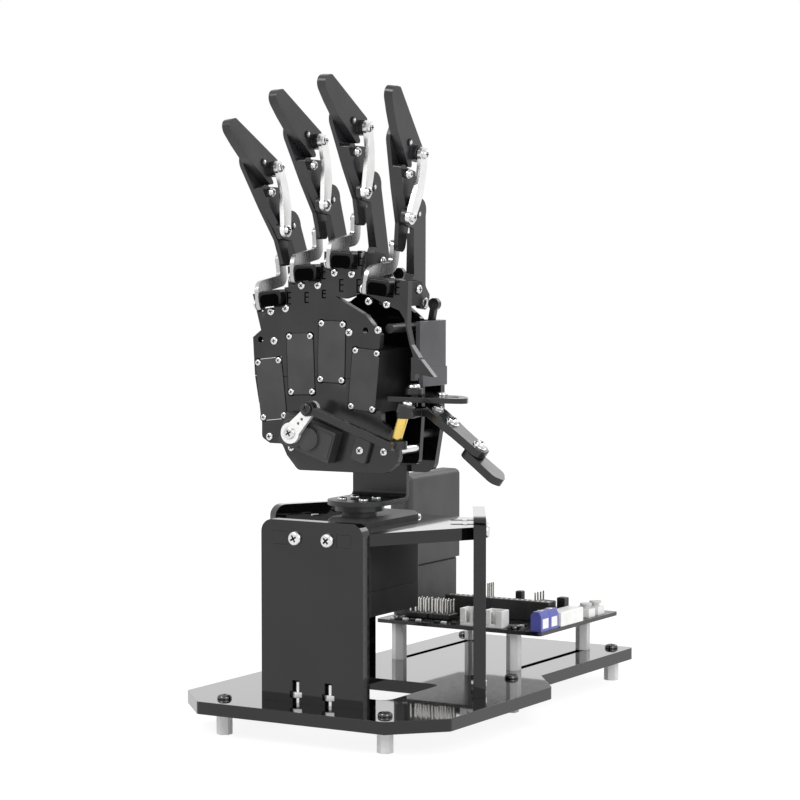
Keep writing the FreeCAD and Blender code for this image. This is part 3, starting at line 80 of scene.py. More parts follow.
class HandSizes(bpy.types.PropertyGroup):
    pan_head: length_setting("Pan head radius", "Radius of the frame's pan screws", 2.9)
    small_head: length_setting("Small head radius", "Radius of the palm's screws", 1.6)
    link_head: length_setting("Link head radius", "Radius of the screws on the finger links", 1.9)
    pin_width: length_setting("Header pin width", "Side of a square header pin", 0.64)
    edge_round: length_setting("Edge softness", "Apparent radius of cut edges", 0.25)
    round_steps: IntProperty(name="Round steps", description="Faces round a screw head", default=24, min=12)


class HandColours(bpy.types.PropertyGroup):
    sheet: colour_setting("Black sheet", "Cast acrylic sheet", 0.004, 0.004, 0.0045)
    plate: colour_setting("Hand plates", "Black plates of the hand", 0.010, 0.010, 0.011)
    case: colour_setting("Servo cases", "Moulded servo cases", 0.022, 0.022, 0.023)
    link: colour_setting("Bright links", "Pale metal links", 0.86, 0.855, 0.85)
    nylon: colour_setting("White nylon", "Hexagonal stand-offs", 0.78, 0.78, 0.785)
    terminal: colour_setting("Terminal block", "Blue-violet terminal block", 0.105, 0.115, 0.43)
    brass: colour_setting("Brass", "Threaded spacer of the thumb", 0.80, 0.58, 0.16)


def sizes():
    return bpy.context.scene.hand_sizes


def colours():
    return bpy.context.scene.hand_colours


# Node-based finishes
class Finish:
    """A material and the nodes that feed its main shader."""

    def __init__(self, name):
        self.material = bpy.data.materials.new(name)
        self.material.use_nodes = True
        self.nodes = self.material.node_tree.nodes
        self.links = self.material.node_tree.links
        self.shader = self.nodes["Principled BSDF"]
        self.place = self.add("ShaderNodeTexCoord").outputs["Object"]

    def add(self, kind, values=None, **settings):
        """A new node with its settings, and the values of its unlinked inputs."""
        node = self.nodes.new(kind)
        for name, value in settings.items():
            setattr(node, name, value)
        for name, value in (values or {}).items():
            node.inputs[name].default_value = value
        return node

    def join(self, source, target):
        self.links.new(source, target)

    def stretched(self, x, y, z):
        node = self.add("ShaderNodeMapping", {"Scale": (x, y, z)})
        self.join(self.place, node.inputs["Vector"])
        return node.outputs["Vector"]

    def noise(self, scale, detail=3.0, where=None):
        node = self.add("ShaderNodeTexNoise", {"Scale": scale, "Detail": detail})
        self.join(where or self.place, node.inputs["Vector"])
        return node.outputs["Fac"]

    def spread(self, value, low, high, start=0.3, end=0.7):
        node = self.add("ShaderNodeMapRange",
                        {"From Min": start, "From Max": end, "To Min": low, "To Max": high})
        self.join(value, node.inputs["Value"])
        return node.outputs["Result"]

    def shades(self, value, first, last, start=0.3, end=0.7):
        node = self.add("ShaderNodeValToRGB")
        for stop, position, shade in zip(node.color_ramp.elements, (start, end), (first, last)):
            stop.position = position
            stop.color = tuple(shade) + (1,)
        self.join(value, node.inputs["Fac"])
        return node.outputs["Color"]

    def blend(self, factor, first, second):
        node = self.add("ShaderNodeMix", data_type="RGBA")
        self.join(factor, node.inputs[0])
        for socket, value in ((node.inputs[6], first), (node.inputs[7], second)):
            if isinstance(value, (tuple, list)):
                socket.default_value = tuple(value) + (1,)
            else:
                self.join(value, socket)
        return node.outputs[2]

    def soft_edge(self):
        return self.add("ShaderNodeBevel", {"Radius": sizes().edge_round}, samples=4).outputs["Normal"]

    def edge_highlight_mask(self, soft):
        """Mask of the painted edge highlight: bright where the softened normal leaves the flat one, along cut
        edges.
        """
        flat = self.add("ShaderNodeNewGeometry").outputs["Normal"]
        dot = self.add("ShaderNodeVectorMath", operation="DOT_PRODUCT")
        self.join(soft, dot.inputs[0])
        self.join(flat, dot.inputs[1])
        return self.spread(dot.outputs["Value"], 1.0, 0.0, 0.72, 0.99)

    def relief(self, height, strength, distance, soft=None):
        node = self.add("ShaderNodeBump", {"Strength": strength, "Distance": distance})
        self.join(height, node.inputs["Height"])
        if soft is not None:
            self.join(soft, node.inputs["Normal"])
        self.join(node.outputs["Normal"], self.shader.inputs["Normal"])

    def colour(self, source):
        self.join(source, self.shader.inputs["Base Color"])

    def rough(self, source):
        self.join(source, self.shader.inputs["Roughness"])


def scaled(colour, factor):
    return tuple(min(1.0, channel * factor) for channel in colour)


def polished_sheet(name, colour, low=0.035, high=0.11, top_shine=0.0):
    """Glossy black sheet: hairlines, painted highlights along the edges and a coat of top_shine on faces that
    look up.
    """
    f = Finish(name)
    soft = f.soft_edge()
    clouds = f.noise(35, 4)
    body = f.shades(clouds, scaled(colour, 0.7), scaled(colour, 1.4))
    # the lighter colour along the edges is a painted highlight
    f.colour(f.blend(f.edge_highlight_mask(soft), body, scaled(colour, 4.0)))
    hairs = f.noise(900, 2, f.stretched(1, 0.06, 1))
    f.rough(f.spread(hairs, low, high, 0.35, 0.75))
    f.relief(hairs, 0.05, 0.00002, soft)
    if top_shine:
        facing = f.add("ShaderNodeSeparateXYZ")
        f.join(f.add("ShaderNodeNewGeometry").outputs["True Normal"], facing.inputs["Vector"])
        f.join(f.spread(facing.outputs["Z"], 0.0, top_shine, 0.9, 0.95), f.shader.inputs["Coat Weight"])
        f.shader.inputs["Coat IOR"].default_value = 2.4
        f.shader.inputs["Coat Roughness"].default_value = 0.04
    return f.material


def satin_plate(name, colour, rough_low=0.16, rough_high=0.3):
    """Black hand plates: cut sheet with a soft sheen, fine grain and painted highlights along the edges."""
    f = Finish(name)
    soft = f.soft_edge()
    grain = f.noise(2600, 2)
    clouds = f.noise(60, 3)
    body = f.shades(clouds, scaled(colour, 0.75), scaled(colour, 1.5))
    # the lighter colour along the edges is a painted highlight
    f.colour(f.blend(f.edge_highlight_mask(soft), body, scaled(colour, 3.5)))
    f.rough(f.spread(clouds, rough_low, rough_high))
    f.relief(grain, 0.12, 0.00003, soft)
    return f.material


def moulded_case(name, colour):
    """Moulded servo case: spark-eroded grain with a painted highlight along the edges."""
    f = Finish(name)
    soft = f.soft_edge()
    grain = f.noise(5200, 3)
    clouds = f.noise(90, 3)
    body = f.shades(clouds, scaled(colour, 0.8), scaled(colour, 1.25))
    # the lighter colour along the edges is a painted highlight
    f.colour(f.blend(f.edge_highlight_mask(soft), body, scaled(colour, 2.4)))
    f.rough(f.spread(grain, 0.38, 0.58))
    f.relief(grain, 0.3, 0.00004, soft)
    return f.material


def brushed_metal(name, colour, rough_low, rough_high, along=(1, 1, 0.05), metal=1.0, scratch=0.08):
    """Bright metal with a drawn grain along one way and darker clouds."""
    f = Finish(name)
    soft = f.soft_edge()
    lines = f.noise(2400, 2, f.stretched(*along))
    clouds = f.noise(140, 2)
    f.colour(f.shades(clouds, scaled(colour, 0.9), scaled(colour, 1.06)))
    f.rough(f.spread(lines, rough_low, rough_high))
    f.relief(lines, scratch, 0.00002, soft)
    f.shader.inputs["Metallic"].default_value = metal
    return f.material


def milky_nylon(name, colour):
    """Moulded nylon: slightly see-through, with cloudy flow and tool marks."""
    f = Finish(name)
    soft = f.soft_edge()
    flow = f.noise(220, 3, f.stretched(1, 1, 0.3))
    f.colour(f.shades(flow, scaled(colour, 0.93), scaled(colour, 1.05)))
    f.rough(f.spread(flow, 0.28, 0.42))
    f.relief(f.noise(1800, 2), 0.08, 0.00003, soft)
    f.shader.inputs["Subsurface Weight"].default_value = 0.35
    f.shader.inputs["Subsurface Radius"].default_value = (0.004, 0.004, 0.004)
    f.shader.inputs["Subsurface Scale"].default_value = 0.5
    return f.material


def board_mask(name):
    """Black solder mask over raised tracks."""
    f = Finish(name)
    tracks = f.add("ShaderNodeTexBrick", {"Scale": 160, "Mortar Size": 0.03, "Color1": (0.3, 0.3, 0.3, 1),
                                          "Color2": (0.45, 0.45, 0.45, 1)})
    f.join(f.place, tracks.inputs["Vector"])
    f.colour(f.shades(tracks.outputs["Fac"], (0.006, 0.007, 0.008), (0.018, 0.02, 0.021), 0.2, 0.8))
    f.rough(f.spread(f.noise(300, 3), 0.14, 0.26))
    f.relief(tracks.outputs["Fac"], 0.25, 0.00005)
    return f.material


def plain_plastic(name, colour, rough_low, rough_high, shine=0.5):
    """Plain moulded plastic: cloudy colour, fine grain and a slight painted highlight along the edges."""
    f = Finish(name)
    f.shader.inputs["Specular IOR Level"].default_value = shine
    soft = f.soft_edge()
    clouds = f.noise(180, 3)
    body = f.shades(clouds, scaled(colour, 0.92), scaled(colour, 1.07))
    # the lighter colour along the edges is a painted highlight
    f.colour(f.blend(f.edge_highlight_mask(soft), body, scaled(colour, 1.3)))
    f.rough(f.spread(clouds, rough_low, rough_high))
    f.relief(f.noise(2200, 2), 0.12, 0.00003, soft)
    return f.material


FINISHES = {}


def finish(name):
    return FINISHES[name]


def make_finishes():
    c = colours()
    FINISHES.update(
        sheet=polished_sheet("polished_black_sheet", c.sheet),
        plate=satin_plate("black_hand_plate", c.plate),
        finger=satin_plate("black_finger_plate", scaled(c.plate, 1.5), 0.2, 0.34),
        bracket=satin_plate("anodised_bracket", scaled(c.plate, 1.3), 0.22, 0.34),
        case=moulded_case("servo_case", c.case),
        small_case=moulded_case("palm_servo_case", scaled(c.case, 1.35)),
        link=brushed_metal("bright_link", c.link, 0.26, 0.34, scratch=0.02),
        arm=brushed_metal("pale_servo_arm", c.link, 0.26, 0.4, (0.05, 1, 1), 0.55),
        drive=brushed_metal("bent_steel_link", scaled(c.link, 0.6), 0.24, 0.3, scratch=0.02),
        screw=brushed_metal("plated_screw", (0.72, 0.72, 0.73), 0.1, 0.22, (1, 1, 1)),
        dark_screw=brushed_metal("blackened_screw", (0.1, 0.1, 0.1), 0.12, 0.24, (1, 1, 1)),
        top_sheet=polished_sheet("mirror_black_sheet", c.sheet, 0.02, 0.06, 1.0),
        base_sheet=polished_sheet("base_black_sheet", c.sheet, 0.02, 0.06, 0.6),
        cap_black=plain_plastic("knuckle_black", (0.003, 0.003, 0.003), 0.3, 0.42, shine=0.3),
        # near-black servo finish: painted shade for the shadowed inside of the palm
        side_case=plain_plastic("servo_painted_shade_black", (0.004, 0.004, 0.004), 0.4, 0.55, shine=0.25),
        # near-black pillar finish: painted shade inside the palm
        pillar=plain_plastic("pillar_painted_shade", (0.006, 0.006, 0.006), 0.3, 0.45),
        shell=satin_plate("rear_shell", scaled(c.plate, 5.0), 0.3, 0.42),
        # near-black finish: painted shade in the slots and notches, and the dark knuckle cap faces
        void=plain_plastic("slot_shade_and_cap_black", (0.001, 0.001, 0.001), 0.7, 0.9, shine=0.02),
        # dark lining of the screws' cross recesses: painted shade
        recess=brushed_metal("screw_recess_painted_shade", (0.06, 0.06, 0.062), 0.3, 0.5, (1, 1, 1), 0.6),
        brass=brushed_metal("turned_brass", c.brass, 0.16, 0.3, (0.05, 0.05, 1)),
        nylon=milky_nylon("white_nylon", c.nylon),
        board=board_mask("black_board"),
        socket=plain_plastic("white_socket", (0.9, 0.9, 0.89), 0.3, 0.45),
        header=plain_plastic("black_header", (0.012, 0.012, 0.012), 0.3, 0.5),
        violet=plain_plastic("violet_block", c.terminal, 0.28, 0.42),
        grey_box=moulded_case("dark_grey_box", (0.042, 0.042, 0.043)),
        rod=plain_plastic("black_rod", (0.012, 0.012, 0.012), 0.22, 0.34),
        pin=brushed_metal("header_pin", (0.72, 0.71, 0.68), 0.18, 0.32),
        cap=plain_plastic("button_cap", (0.62, 0.62, 0.61), 0.35, 0.5),
    )


NODE_FINISH = {
    "sheet": ("stand_front_plate", "palm_mid_plate", "back_plate"),
    "base_sheet": ("base_plate",),
    "top_sheet": ("stand_top_plate", "stand_right_plate", "stand_left_plate"),
    "cap_black": ("knuckle_blocks",),
    # the finger servos take the near-black finish as painted shade
    "side_case": ("finger_servos",),
    "shell": ("back_cover",),
    "plate": ("palm_upper_plate", "palm_lower_plate", "thumb_carrier", "thumb_tip", "thumb_bracket"),
    "bracket": ("wrist_bracket", "pan_horn"),
    "case": ("pan_servo",),
    "small_case": ("thumb_servo",),
    "nylon": ("hex_standoffs",),
    "board": ("control_board",),
    "violet": ("terminal_block",),
    "socket": ("button_bodies",),
    "cap": ("key_button_front", "key_button_rear"),
    "grey_box": ("battery_box_lower", "battery_box_upper"),
    "arm": ("thumb_servo_arm",),
    "rod": ("thumb_rod",),
}
FINGER_FINISH = {"proximal": "finger", "middle": "finger", "distal": "finger", "curl_link": "link",
                 "drive_link": "drive", "servo_arm": "rod", "push_rod": "rod"}


# Mesh helpers: outlines, profiles, radii and heights are in millimetres, matrices in metres
SHARP_ANGLE = 32


def piece(name, bm, materials, body):
    """Turns a bmesh into an object that rides on a body of the frame."""
    mesh = bpy.data.meshes.new(name)
    bmesh.ops.recalc_face_normals(bm, faces=bm.faces[:])
    bm.to_mesh(mesh)
    bm.free()
    item = bpy.data.objects.new(name, mesh)
    bpy.context.scene.collection.objects.link(item)
    for material in materials:
        mesh.materials.append(finish(material))
    mesh.shade_smooth()
    mesh.set_sharp_from_angle(angle=math.radians(SHARP_ANGLE))
    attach(item, body)
    return item


def screw_piece(name, bm, body):
    """A piece of bright cross-head screws."""
    return piece(name, bm, ("screw", "recess"), body)


def aim(at, direction, turn=0.0):
    """A matrix whose Z axis points along the direction, at a point given in metres."""
    rotation = Vector(direction).to_track_quat("Z", "Y").to_matrix().to_4x4()
    return Matrix.Translation(Vector(at)) @ rotation @ Matrix.Rotation(turn, 4, "Z")


def vertex(bm, matrix, x, y, z):
    """A new vertex from a place in millimetres."""
    return bm.verts.new(matrix @ Vector((x * MM, y * MM, z * MM)))


def ring_of(bm, matrix, radius, z, steps):
    points = []
    for i in range(steps):
        a = 2 * math.pi * i / steps
        points.append(vertex(bm, matrix, radius * math.cos(a), radius * math.sin(a), z))
    return points


def bridge(bm, lower, upper, material=0):
    count = len(lower)
    for i in range(count):
        face = bm.faces.new((lower[i], lower[(i + 1) % count], upper[(i + 1) % count], upper[i]))
        face.material_index = material


def turned(bm, matrix, profile, steps=24, material=0):
    """A turned solid from (radius, height) pairs, bottom up."""
    rings = [ring_of(bm, matrix, r, z, steps) for r, z in profile]
    for lower, upper in zip(rings, rings[1:]):
        bridge(bm, lower, upper, material)
    bm.faces.new(list(reversed(rings[0]))).material_index = material
    bm.faces.new(rings[-1]).material_index = material


def bevelled(radius, height, rim):
    """Profile of a round bar with bevelled rims."""
    return [(radius - rim, 0), (radius, rim), (radius, height - rim), (radius - rim, height)]


def prism(bm, matrix, outline, low, high, chamfer=0.0, material=0):
    """An upright prism over an outline, with its top and bottom rims chamfered."""
    centre = Vector((sum(p[0] for p in outline) / len(outline), sum(p[1] for p in outline) / len(outline)))
    levels = [(low, chamfer), (low + chamfer, 0), (high - chamfer, 0), (high, chamfer)] if chamfer else \
        [(low, 0), (high, 0)]
    rings = []
    for z, inset in levels:
        ring = []
        for x, y in outline:
            out = Vector((x, y)) - centre
            point = Vector((x, y)) - Vector((math.copysign(min(inset, abs(out.x)), out.x),
                                             math.copysign(min(inset, abs(out.y)), out.y)))
            ring.append(vertex(bm, matrix, point.x, point.y, z))
        rings.append(ring)
    for lower, upper in zip(rings, rings[1:]):
        bridge(bm, lower, upper, material)
    bm.faces.new(list(reversed(rings[0]))).material_index = material
    bm.faces.new(rings[-1]).material_index = material


def rectangle(x0, y0, x1, y1, radius=0.0, steps=4):
    """Outline of a rectangle whose corners may be rounded."""
    if radius <= 0:
        return [(x0, y0), (x1, y0), (x1, y1), (x0, y1)]
    outline = []
    for cx, cy, start in ((x1 - radius, y0 + radius, -90), (x1 - radius, y1 - radius, 0),
                          (x0 + radius, y1 - radius, 90), (x0 + radius, y0 + radius, 180)):
        for i in range(steps + 1):
            a = math.radians(start + 90 * i / steps)
            outline.append((cx + radius * math.cos(a), cy + radius * math.sin(a)))
    return outline


def six_sided(across_flats):
    long = across_flats / math.sqrt(3)
    return [(long * math.cos(math.radians(60 * i + 30)), long * math.sin(math.radians(60 * i + 30)))
            for i in range(6)]


def cross_screw(bm, matrix, radius, height, steps=None, metal=0):
    """A domed screw head with a cross recess, which the next material after the metal lines with dark painted
    shade.
    """
    steps = steps or sizes().round_steps
    before = set(bm.faces)
    profile = [(radius * 0.97, 0), (radius, height * 0.12), (radius, height * 0.35),
               (radius * 0.93, height * 0.68), (radius * 0.8, height * 0.88), (radius * 0.62, height)]
    rings = [ring_of(bm, matrix, r, z, steps) for r, z in profile]
    bm.faces.new(list(reversed(rings[0])))
    for lower, upper in zip(rings, rings[1:]):
        bridge(bm, lower, upper)
    long, wide = radius * 0.52, radius * 0.13
    cross = [(long, wide), (wide, wide), (wide, long), (-wide, long), (-wide, wide), (-long, wide),
             (-long, -wide), (-wide, -wide), (-wide, -long), (wide, -long), (wide, -wide), (long, -wide)]
    top = [vertex(bm, matrix, x, y, height) for x, y in cross]
    deep = [vertex(bm, matrix, x * 0.72, y * 0.8, height * 0.3) for x, y in cross]
    # the recess walls and floor take the dark lining, painted shade
    bridge(bm, deep, top, 1)
    bm.faces.new(deep).material_index = 1
    edges = [bm.edges.get((loop[i - 1], loop[i])) for loop in (rings[-1], top) for i in range(len(loop))]
    bmesh.ops.triangle_fill(bm, use_beauty=True, use_dissolve=False, edges=edges)
    for face in bm.faces:
        if metal and face not in before:
            face.material_index += metal


def screw_with_washer(bm, matrix, radius, height):
    turned(bm, matrix, [(radius * 1.25, 0), (radius * 1.25, height * 0.22), (radius * 1.1, height * 0.3)])
    cross_screw(bm, matrix @ Matrix.Translation((0, 0, height * 0.3 * MM)), radius, height * 0.8)


# The index finger's own curl at rest, in degrees, and the share of it that the outer bodies turn
INDEX_REST_CURL = -5.0
MIDDLE_SHARE, CURL_LINK_SHARE = 2.1, 2.122


class FingerPlaces:
    """Places on a finger: x to the rear, y up the finger, the third number across it to the right."""

    def __init__(self, name):
        self.name = name
        joint = JOINTS[name + "_curl"]
        self.across = Vector(joint["axis"]).normalized()
        self.up = Vector((-self.across.z, 0, self.across.x))
        self.curl = math.radians(INDEX_REST_CURL) if name == "index" else 0.0

    def pivot(self, joint):
        return Vector(JOINTS[self.name + "_" + joint]["pos_m"])

    def point(self, start, dx, dy, across, share=1.0):
        """A point from a pivot, in millimetres, after the finger's own rest curl."""
        c, s = math.cos(self.curl * share), math.sin(self.curl * share)
        x, y = dx * c - dy * s, dx * s + dy * c
        return start + (BACKWARD * x + self.up * y + self.across * across) * MM

    def facing(self, start, dx, dy, across, right=True, share=1.0):
        direction = self.across if right else -self.across
        return aim(self.point(start, dx, dy, across, share), direction)


# Pieces of the frame: screws, nuts and their shanks, in millimetres
STAND_ANGLES = (-90, 30, 150)
STAND_DISTANCE, STAND_CENTRE_Y, STAND_SHEET = 43, 10, 5
STAND_SCREW_PITCH = 15
STAND_SCREW_LEVEL = 65
PAN_HEIGHT = 1.7
NUT_ACROSS, NUT_HALF_HEIGHT, NUT_DEPTH = 5.5, 1.2, 8.3


def stand_screw_places():
    """Seat of each screw head in metres, its outward direction and the way its nut's flat faces."""
    places = []
    for angle in STAND_ANGLES:
        c, s = math.cos(math.radians(angle)), math.sin(math.radians(angle))
        out, side = Vector((c, s, 0)), Vector((-s, c, 0))
        foot = Vector((STAND_DISTANCE * c, STAND_CENTRE_Y + STAND_DISTANCE * s, 0)) * MM
        for v in (-STAND_SCREW_PITCH / 2, STAND_SCREW_PITCH / 2):
            spot = foot + side * v * MM
            face = spot + out * STAND_SHEET / 2 * MM + UPWARD * (BASE_TOP + STAND_SCREW_LEVEL * MM)
            places.append((face, out, side))
            places.append((spot + UPWARD * (BASE_TOP - STAND_SHEET * MM), DOWNWARD, out))
    return places


def base_screw_places():
    return [(side * 37.2, y) for y in (-41.6, 59.1, 151.4) for side in (-1, 1)]


def board_screw_places():
    return [(side * 28.1, y) for y in (77.9, 141.5) for side in (-1, 1)]


class HAND_OT_frame_screws(bpy.types.Operator):
    """Pan screws and nuts of the stand, base and board"""
    bl_idname = "robot_hand.frame_screws"
    bl_label = "Frame screws"

    def execute(self, context):
        radius = sizes().pan_head / MM
        bm = bmesh.new()
        for i, (face, out, flat) in enumerate(stand_screw_places()):
            matrix = aim(face, out, 0.5 + i * 0.9)
            cross_screw(bm, matrix, radius, PAN_HEIGHT)
            turned(bm, aim(face, -out), [(SHANK, 0), (SHANK, 13), (1.2, 13.5)], 16)
            middle = face - out * NUT_DEPTH * MM
            basis = Matrix((flat, out.cross(flat), out)).transposed().to_4x4()
            prism(bm, Matrix.Translation(middle) @ basis @ Matrix.Rotation(math.pi / 6, 4, "Z"),
                  six_sided(NUT_ACROSS), -NUT_HALF_HEIGHT, NUT_HALF_HEIGHT, 0.15)
        for i, (x, y) in enumerate(base_screw_places()):
            seat = Vector((x * MM, y * MM, BASE_TOP))
            cross_screw(bm, aim(seat, UPWARD, 0.4 + i), radius, PAN_HEIGHT, metal=2)
            turned(bm, aim(seat, DOWNWARD), [(SHANK, 0), (SHANK, 4.9)], 16)
        for i, (x, y) in enumerate(board_screw_places()):
            seat = Vector((x * MM, y * MM, BOARD_TOP))
            cross_screw(bm, aim(seat, UPWARD, 0.2 + i), radius, PAN_HEIGHT, metal=2)
            turned(bm, aim(seat, DOWNWARD), [(SHANK, 0), (SHANK, 1.5)], 16)
        item = piece("frame_screws", bm, ("screw", "recess", "dark_screw", "recess"), "stand")
        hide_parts("frame_fasteners")
        return {"FINISHED"}


# Palm hardware: x and z in the front view, in millimetres, and for the front pillars their material, where
# the near-black one is painted shade inside the palm
PALM_SCREWS = ((-30.1, 152.8), (-23.1, 154.1), (-28.6, 141.1), (6.6, 145.2), (19.9, 146.4), (-15.6, 163.3),
               (-7.9, 163.5), (-0.2, 168.5), (7.8, 168.1), (15.6, 157.6), (23.8, 156.5), (-30.9, 102.8),
               (-20.5, 98.9), (11.5, 99.2), (22.4, 98.9))
BRIGHT, PAINTED_SHADE = 0, 2
FRONT_PILLARS = ((-30.9, 102.8, PAINTED_SHADE), (22.4, 98.9, BRIGHT), (23.2, 147, PAINTED_SHADE), (-36.4, 143, PAINTED_SHADE))
REAR_PILLARS = ((-34, 108), (22.5, 104), (-36.2, 119), (22.5, 119))
CLAMP_SCREWS = ((-8, 98), (8, 98), (-8, 112), (8, 112))
PALM_FRONT, BACK_PLATE_FACE = -18.0, 20.5
PILLAR_RADIUS = 1.9


def front_view(x, z, y):
    """A point given in the front view, in millimetres above the base plate."""
    return Vector((x * MM, y * MM, BASE_TOP + z * MM))


def front_frame(x, z, y=PALM_FRONT, turn=0.0):
    """A frame whose Z axis points out of the palm, at a point of the front view."""
    return Matrix.Translation(front_view(x, z, y)) @ UPRIGHT @ Matrix.Rotation(turn, 4, "Z")


class HAND_OT_palm_screws(bpy.types.Operator):
    """Screws of the front plates, stand-off pillars and clamp screws of the back plate"""
    bl_idname = "robot_hand.palm_screws"
    bl_label = "Palm screws"

    def execute(self, context):
        radius = sizes().small_head / MM
        bm = bmesh.new()
        for i, (x, z) in enumerate(PALM_SCREWS):
            cross_screw(bm, aim(front_view(x, z, PALM_FRONT), FORWARD, 0.3 + i * 0.7), radius, 0.8, 20)
        # pillars in the dark material are painted shade inside the palm
        for x, z, material in FRONT_PILLARS:
            turned(bm, aim(front_view(x, z, PALM_FRONT + 3), BACKWARD),
                   [(PILLAR_RADIUS, 0), (PILLAR_RADIUS, 20.9)], 20, material)
        # the rear pillars are near black as painted shade behind the palm
        for x, z in REAR_PILLARS:
            turned(bm, aim(front_view(x, z, 8.5), BACKWARD),
                   [(PILLAR_RADIUS, 0), (PILLAR_RADIUS, 8.9)], 20, PAINTED_SHADE)
            cross_screw(bm, aim(front_view(x, z, BACK_PLATE_FACE), BACKWARD, x), 1.9, 1.1, 20)
        for x, z in CLAMP_SCREWS:
            cross_screw(bm, aim(front_view(x, z, BACK_PLATE_FACE), BACKWARD, 0.4 + z), 2.6, 1.5)
        item = piece("palm_screws", bm, ("screw", "recess", "pillar"), "hand")
        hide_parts("palm_fasteners")
        return {"FINISHED"}


# The opening at the upper right of the front plates, and the one beside the index servo
UPPER_WINDOW = ((-0.3, 159.5), (4.5, 158.4), (12.0, 160.6), (16.0, 159.6), (26.4, 155.3), (29.4, 154.2),
                (31.9, 150.6), (32.1, 148.7), (33.9, 141.3), (35.5, 137.0), (34.6, 130.2), (34.6, 120.0),
                (19.4, 120.0), (19.9, 138.0), (20.1, 139.1), (20.8, 144.6), (14.2, 152.1))
LOWER_WINDOW = ((18.4, 130), (18.4, 114.8), (25.5, 115.1), (30, 119), (45, 119), (45, 130))
FLARE = ((34.6, 130.2), (34.6, 136.0), (38.9, 135.5), (45.0, 128.7))


def carved_copy(node, outlines, near, far):
    """A copy of a node's mesh with openings of the front view cut through it, from near to far."""
    source = bpy.data.objects.new("carving", frame["nodes"][node].data.copy())
    bpy.context.scene.collection.objects.link(source)
    tools = []
    for outline in outlines:
        bm = bmesh.new()
        prism(bm, Matrix.Translation(UPWARD * BASE_TOP) @ UPRIGHT, outline, near, far)
        bmesh.ops.recalc_face_normals(bm, faces=bm.faces[:])
        mesh = bpy.data.meshes.new("cutter")
        bm.to_mesh(mesh)
        bm.free()
        tool = bpy.data.objects.new("cutter", mesh)
        bpy.context.scene.collection.objects.link(tool)
        carve = source.modifiers.new("carve", "BOOLEAN")
        carve.operation = "DIFFERENCE"
        carve.solver = "EXACT"
        carve.object = tool
        tools.append(tool)
    bpy.context.view_layer.update()
    result = bmesh.new()
    result.from_object(source, bpy.context.evaluated_depsgraph_get())
    for item in tools + [source]:
        bpy.data.objects.remove(item)
    for face in result.faces:
        face.material_index = 0
    return result


def round_hole(x, z, radius, steps=16):
    turns = [2 * math.pi * i / steps for i in range(steps)]
    return [(x + radius * math.cos(a), z + radius * math.sin(a)) for a in turns]


class HAND_OT_palm_panels(bpy.types.Operator):
    """Front plates of the palm with their openings, and the flared corner by the thumb"""
    bl_idname = "robot_hand.palm_panels"
    bl_label = "Palm panels"

    def execute(self, context):
        depth = (-PALM_FRONT - 5, -PALM_FRONT + 1)
        hole, left = round_hole(14.0, 146.1, 1.3), round_hole(-35.3, 141.5, 1.3)
        upper = carved_copy("palm_upper_plate", (UPPER_WINDOW, hole, left), *depth)
        prism(upper, Matrix.Translation(UPWARD * BASE_TOP) @ UPRIGHT, FLARE, 15.05, 17.95, 0.1)
        item = piece("palm_upper_panel", upper, ("plate",), "hand")
        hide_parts("palm_upper_plate")
        skirt = bmesh.new()
        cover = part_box("back_cover")
        right, bottom = cover[1].x / MM, cover[0].z / MM
        prism(skirt, Matrix.Identity(4), rectangle(right - 2, -1.5, right, 17.4), bottom - 7.5, bottom + 0.05,
              0.2)
        piece("rear_shell_skirt", skirt, ("shell",), "hand")
        lower = carved_copy("palm_lower_plate", (LOWER_WINDOW,), *depth)
        item = piece("palm_lower_panel", lower, ("plate",), "hand")
        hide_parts("palm_lower_plate")
        return {"FINISHED"}


# Comb-shaped slots of the captive nuts: centre in the front view and height, in millimetres
COMB_SLOTS = ((-21.5, 158.2, 5.0), (-13.2, 158.6, 4.4), (-5.2, 168.6, 5.4), (-5.1, 160.1, 3.4),
              (3.0, 163.6, 5.0), (11.8, 174.1, 5.6), (11.0, 163.5, 5.4), (28.6, 162.9, 5.2))


class HAND_OT_palm_slots(bpy.types.Operator):
    """Comb-shaped slots beside the knuckles, drawn as thin black bars of painted shade, and the dark faces of
    the knuckle caps
    """
    bl_idname = "robot_hand.palm_slots"
    bl_label = "Palm slots"

    def execute(self, context):
        slots = bmesh.new()
        for x, z, height in COMB_SLOTS:
            at = front_frame(x, z)
            half = height / 2
            bars = [(-1.1, -half, -0.55, half)] + [(-0.55, level - 0.25, 0.9, level + 0.25)
                                                  for level in (half - 0.25, 0.2, 0.25 - half)]
            for bar in bars:
                # each slot is a thin near-black bar on the plate's face: painted shade in place of an opening
                prism(slots, at, rectangle(*bar), 0, 0.05)
        piece("palm_nut_slots", slots, ("void",), "hand")
        faces = bmesh.new()
        for name in FINGERS:
            f = FingerPlaces(name)
            knuckle = f.pivot("curl")
            centre = Vector((knuckle.x, -21.5 * MM, knuckle.z)) + f.across * 0.9 * MM
            basis = Matrix((f.across, f.up, f.across.cross(f.up))).transposed().to_4x4()
            at = Matrix.Translation(centre) @ basis
            prism(faces, at, rectangle(-4.4, -2.45, 4.4, 2.45, 1.9, 6), -0.3, 0.25, 0.15)
            for side in (-1, 1):
                turned(faces, at @ Matrix.Translation((side * 2.6 * MM, 0, 0.2 * MM)),
                       [(0.6, 0), (0.6, 0.15), (0.4, 0.25)], 16)
        piece("knuckle_cap_faces", faces, ("void",), "hand")
        return {"FINISHED"}


# Centre of a servo in the front view and its tilt, in millimetres and degrees
SERVO_PLACES = ((-30.2, 121.9, -6.6), (-16.1, 132.2, -2.3), (-1.6, 137.4, 1.5), (13.3, 126.8, 5.5))
THUMB_SERVO = (-15.6, 105.4, -18.0)
THUMB_SERVO_FACE = -23.4
THUMB_EAR = (12.6, 99.2)
EAR_THICKNESS = 1.9


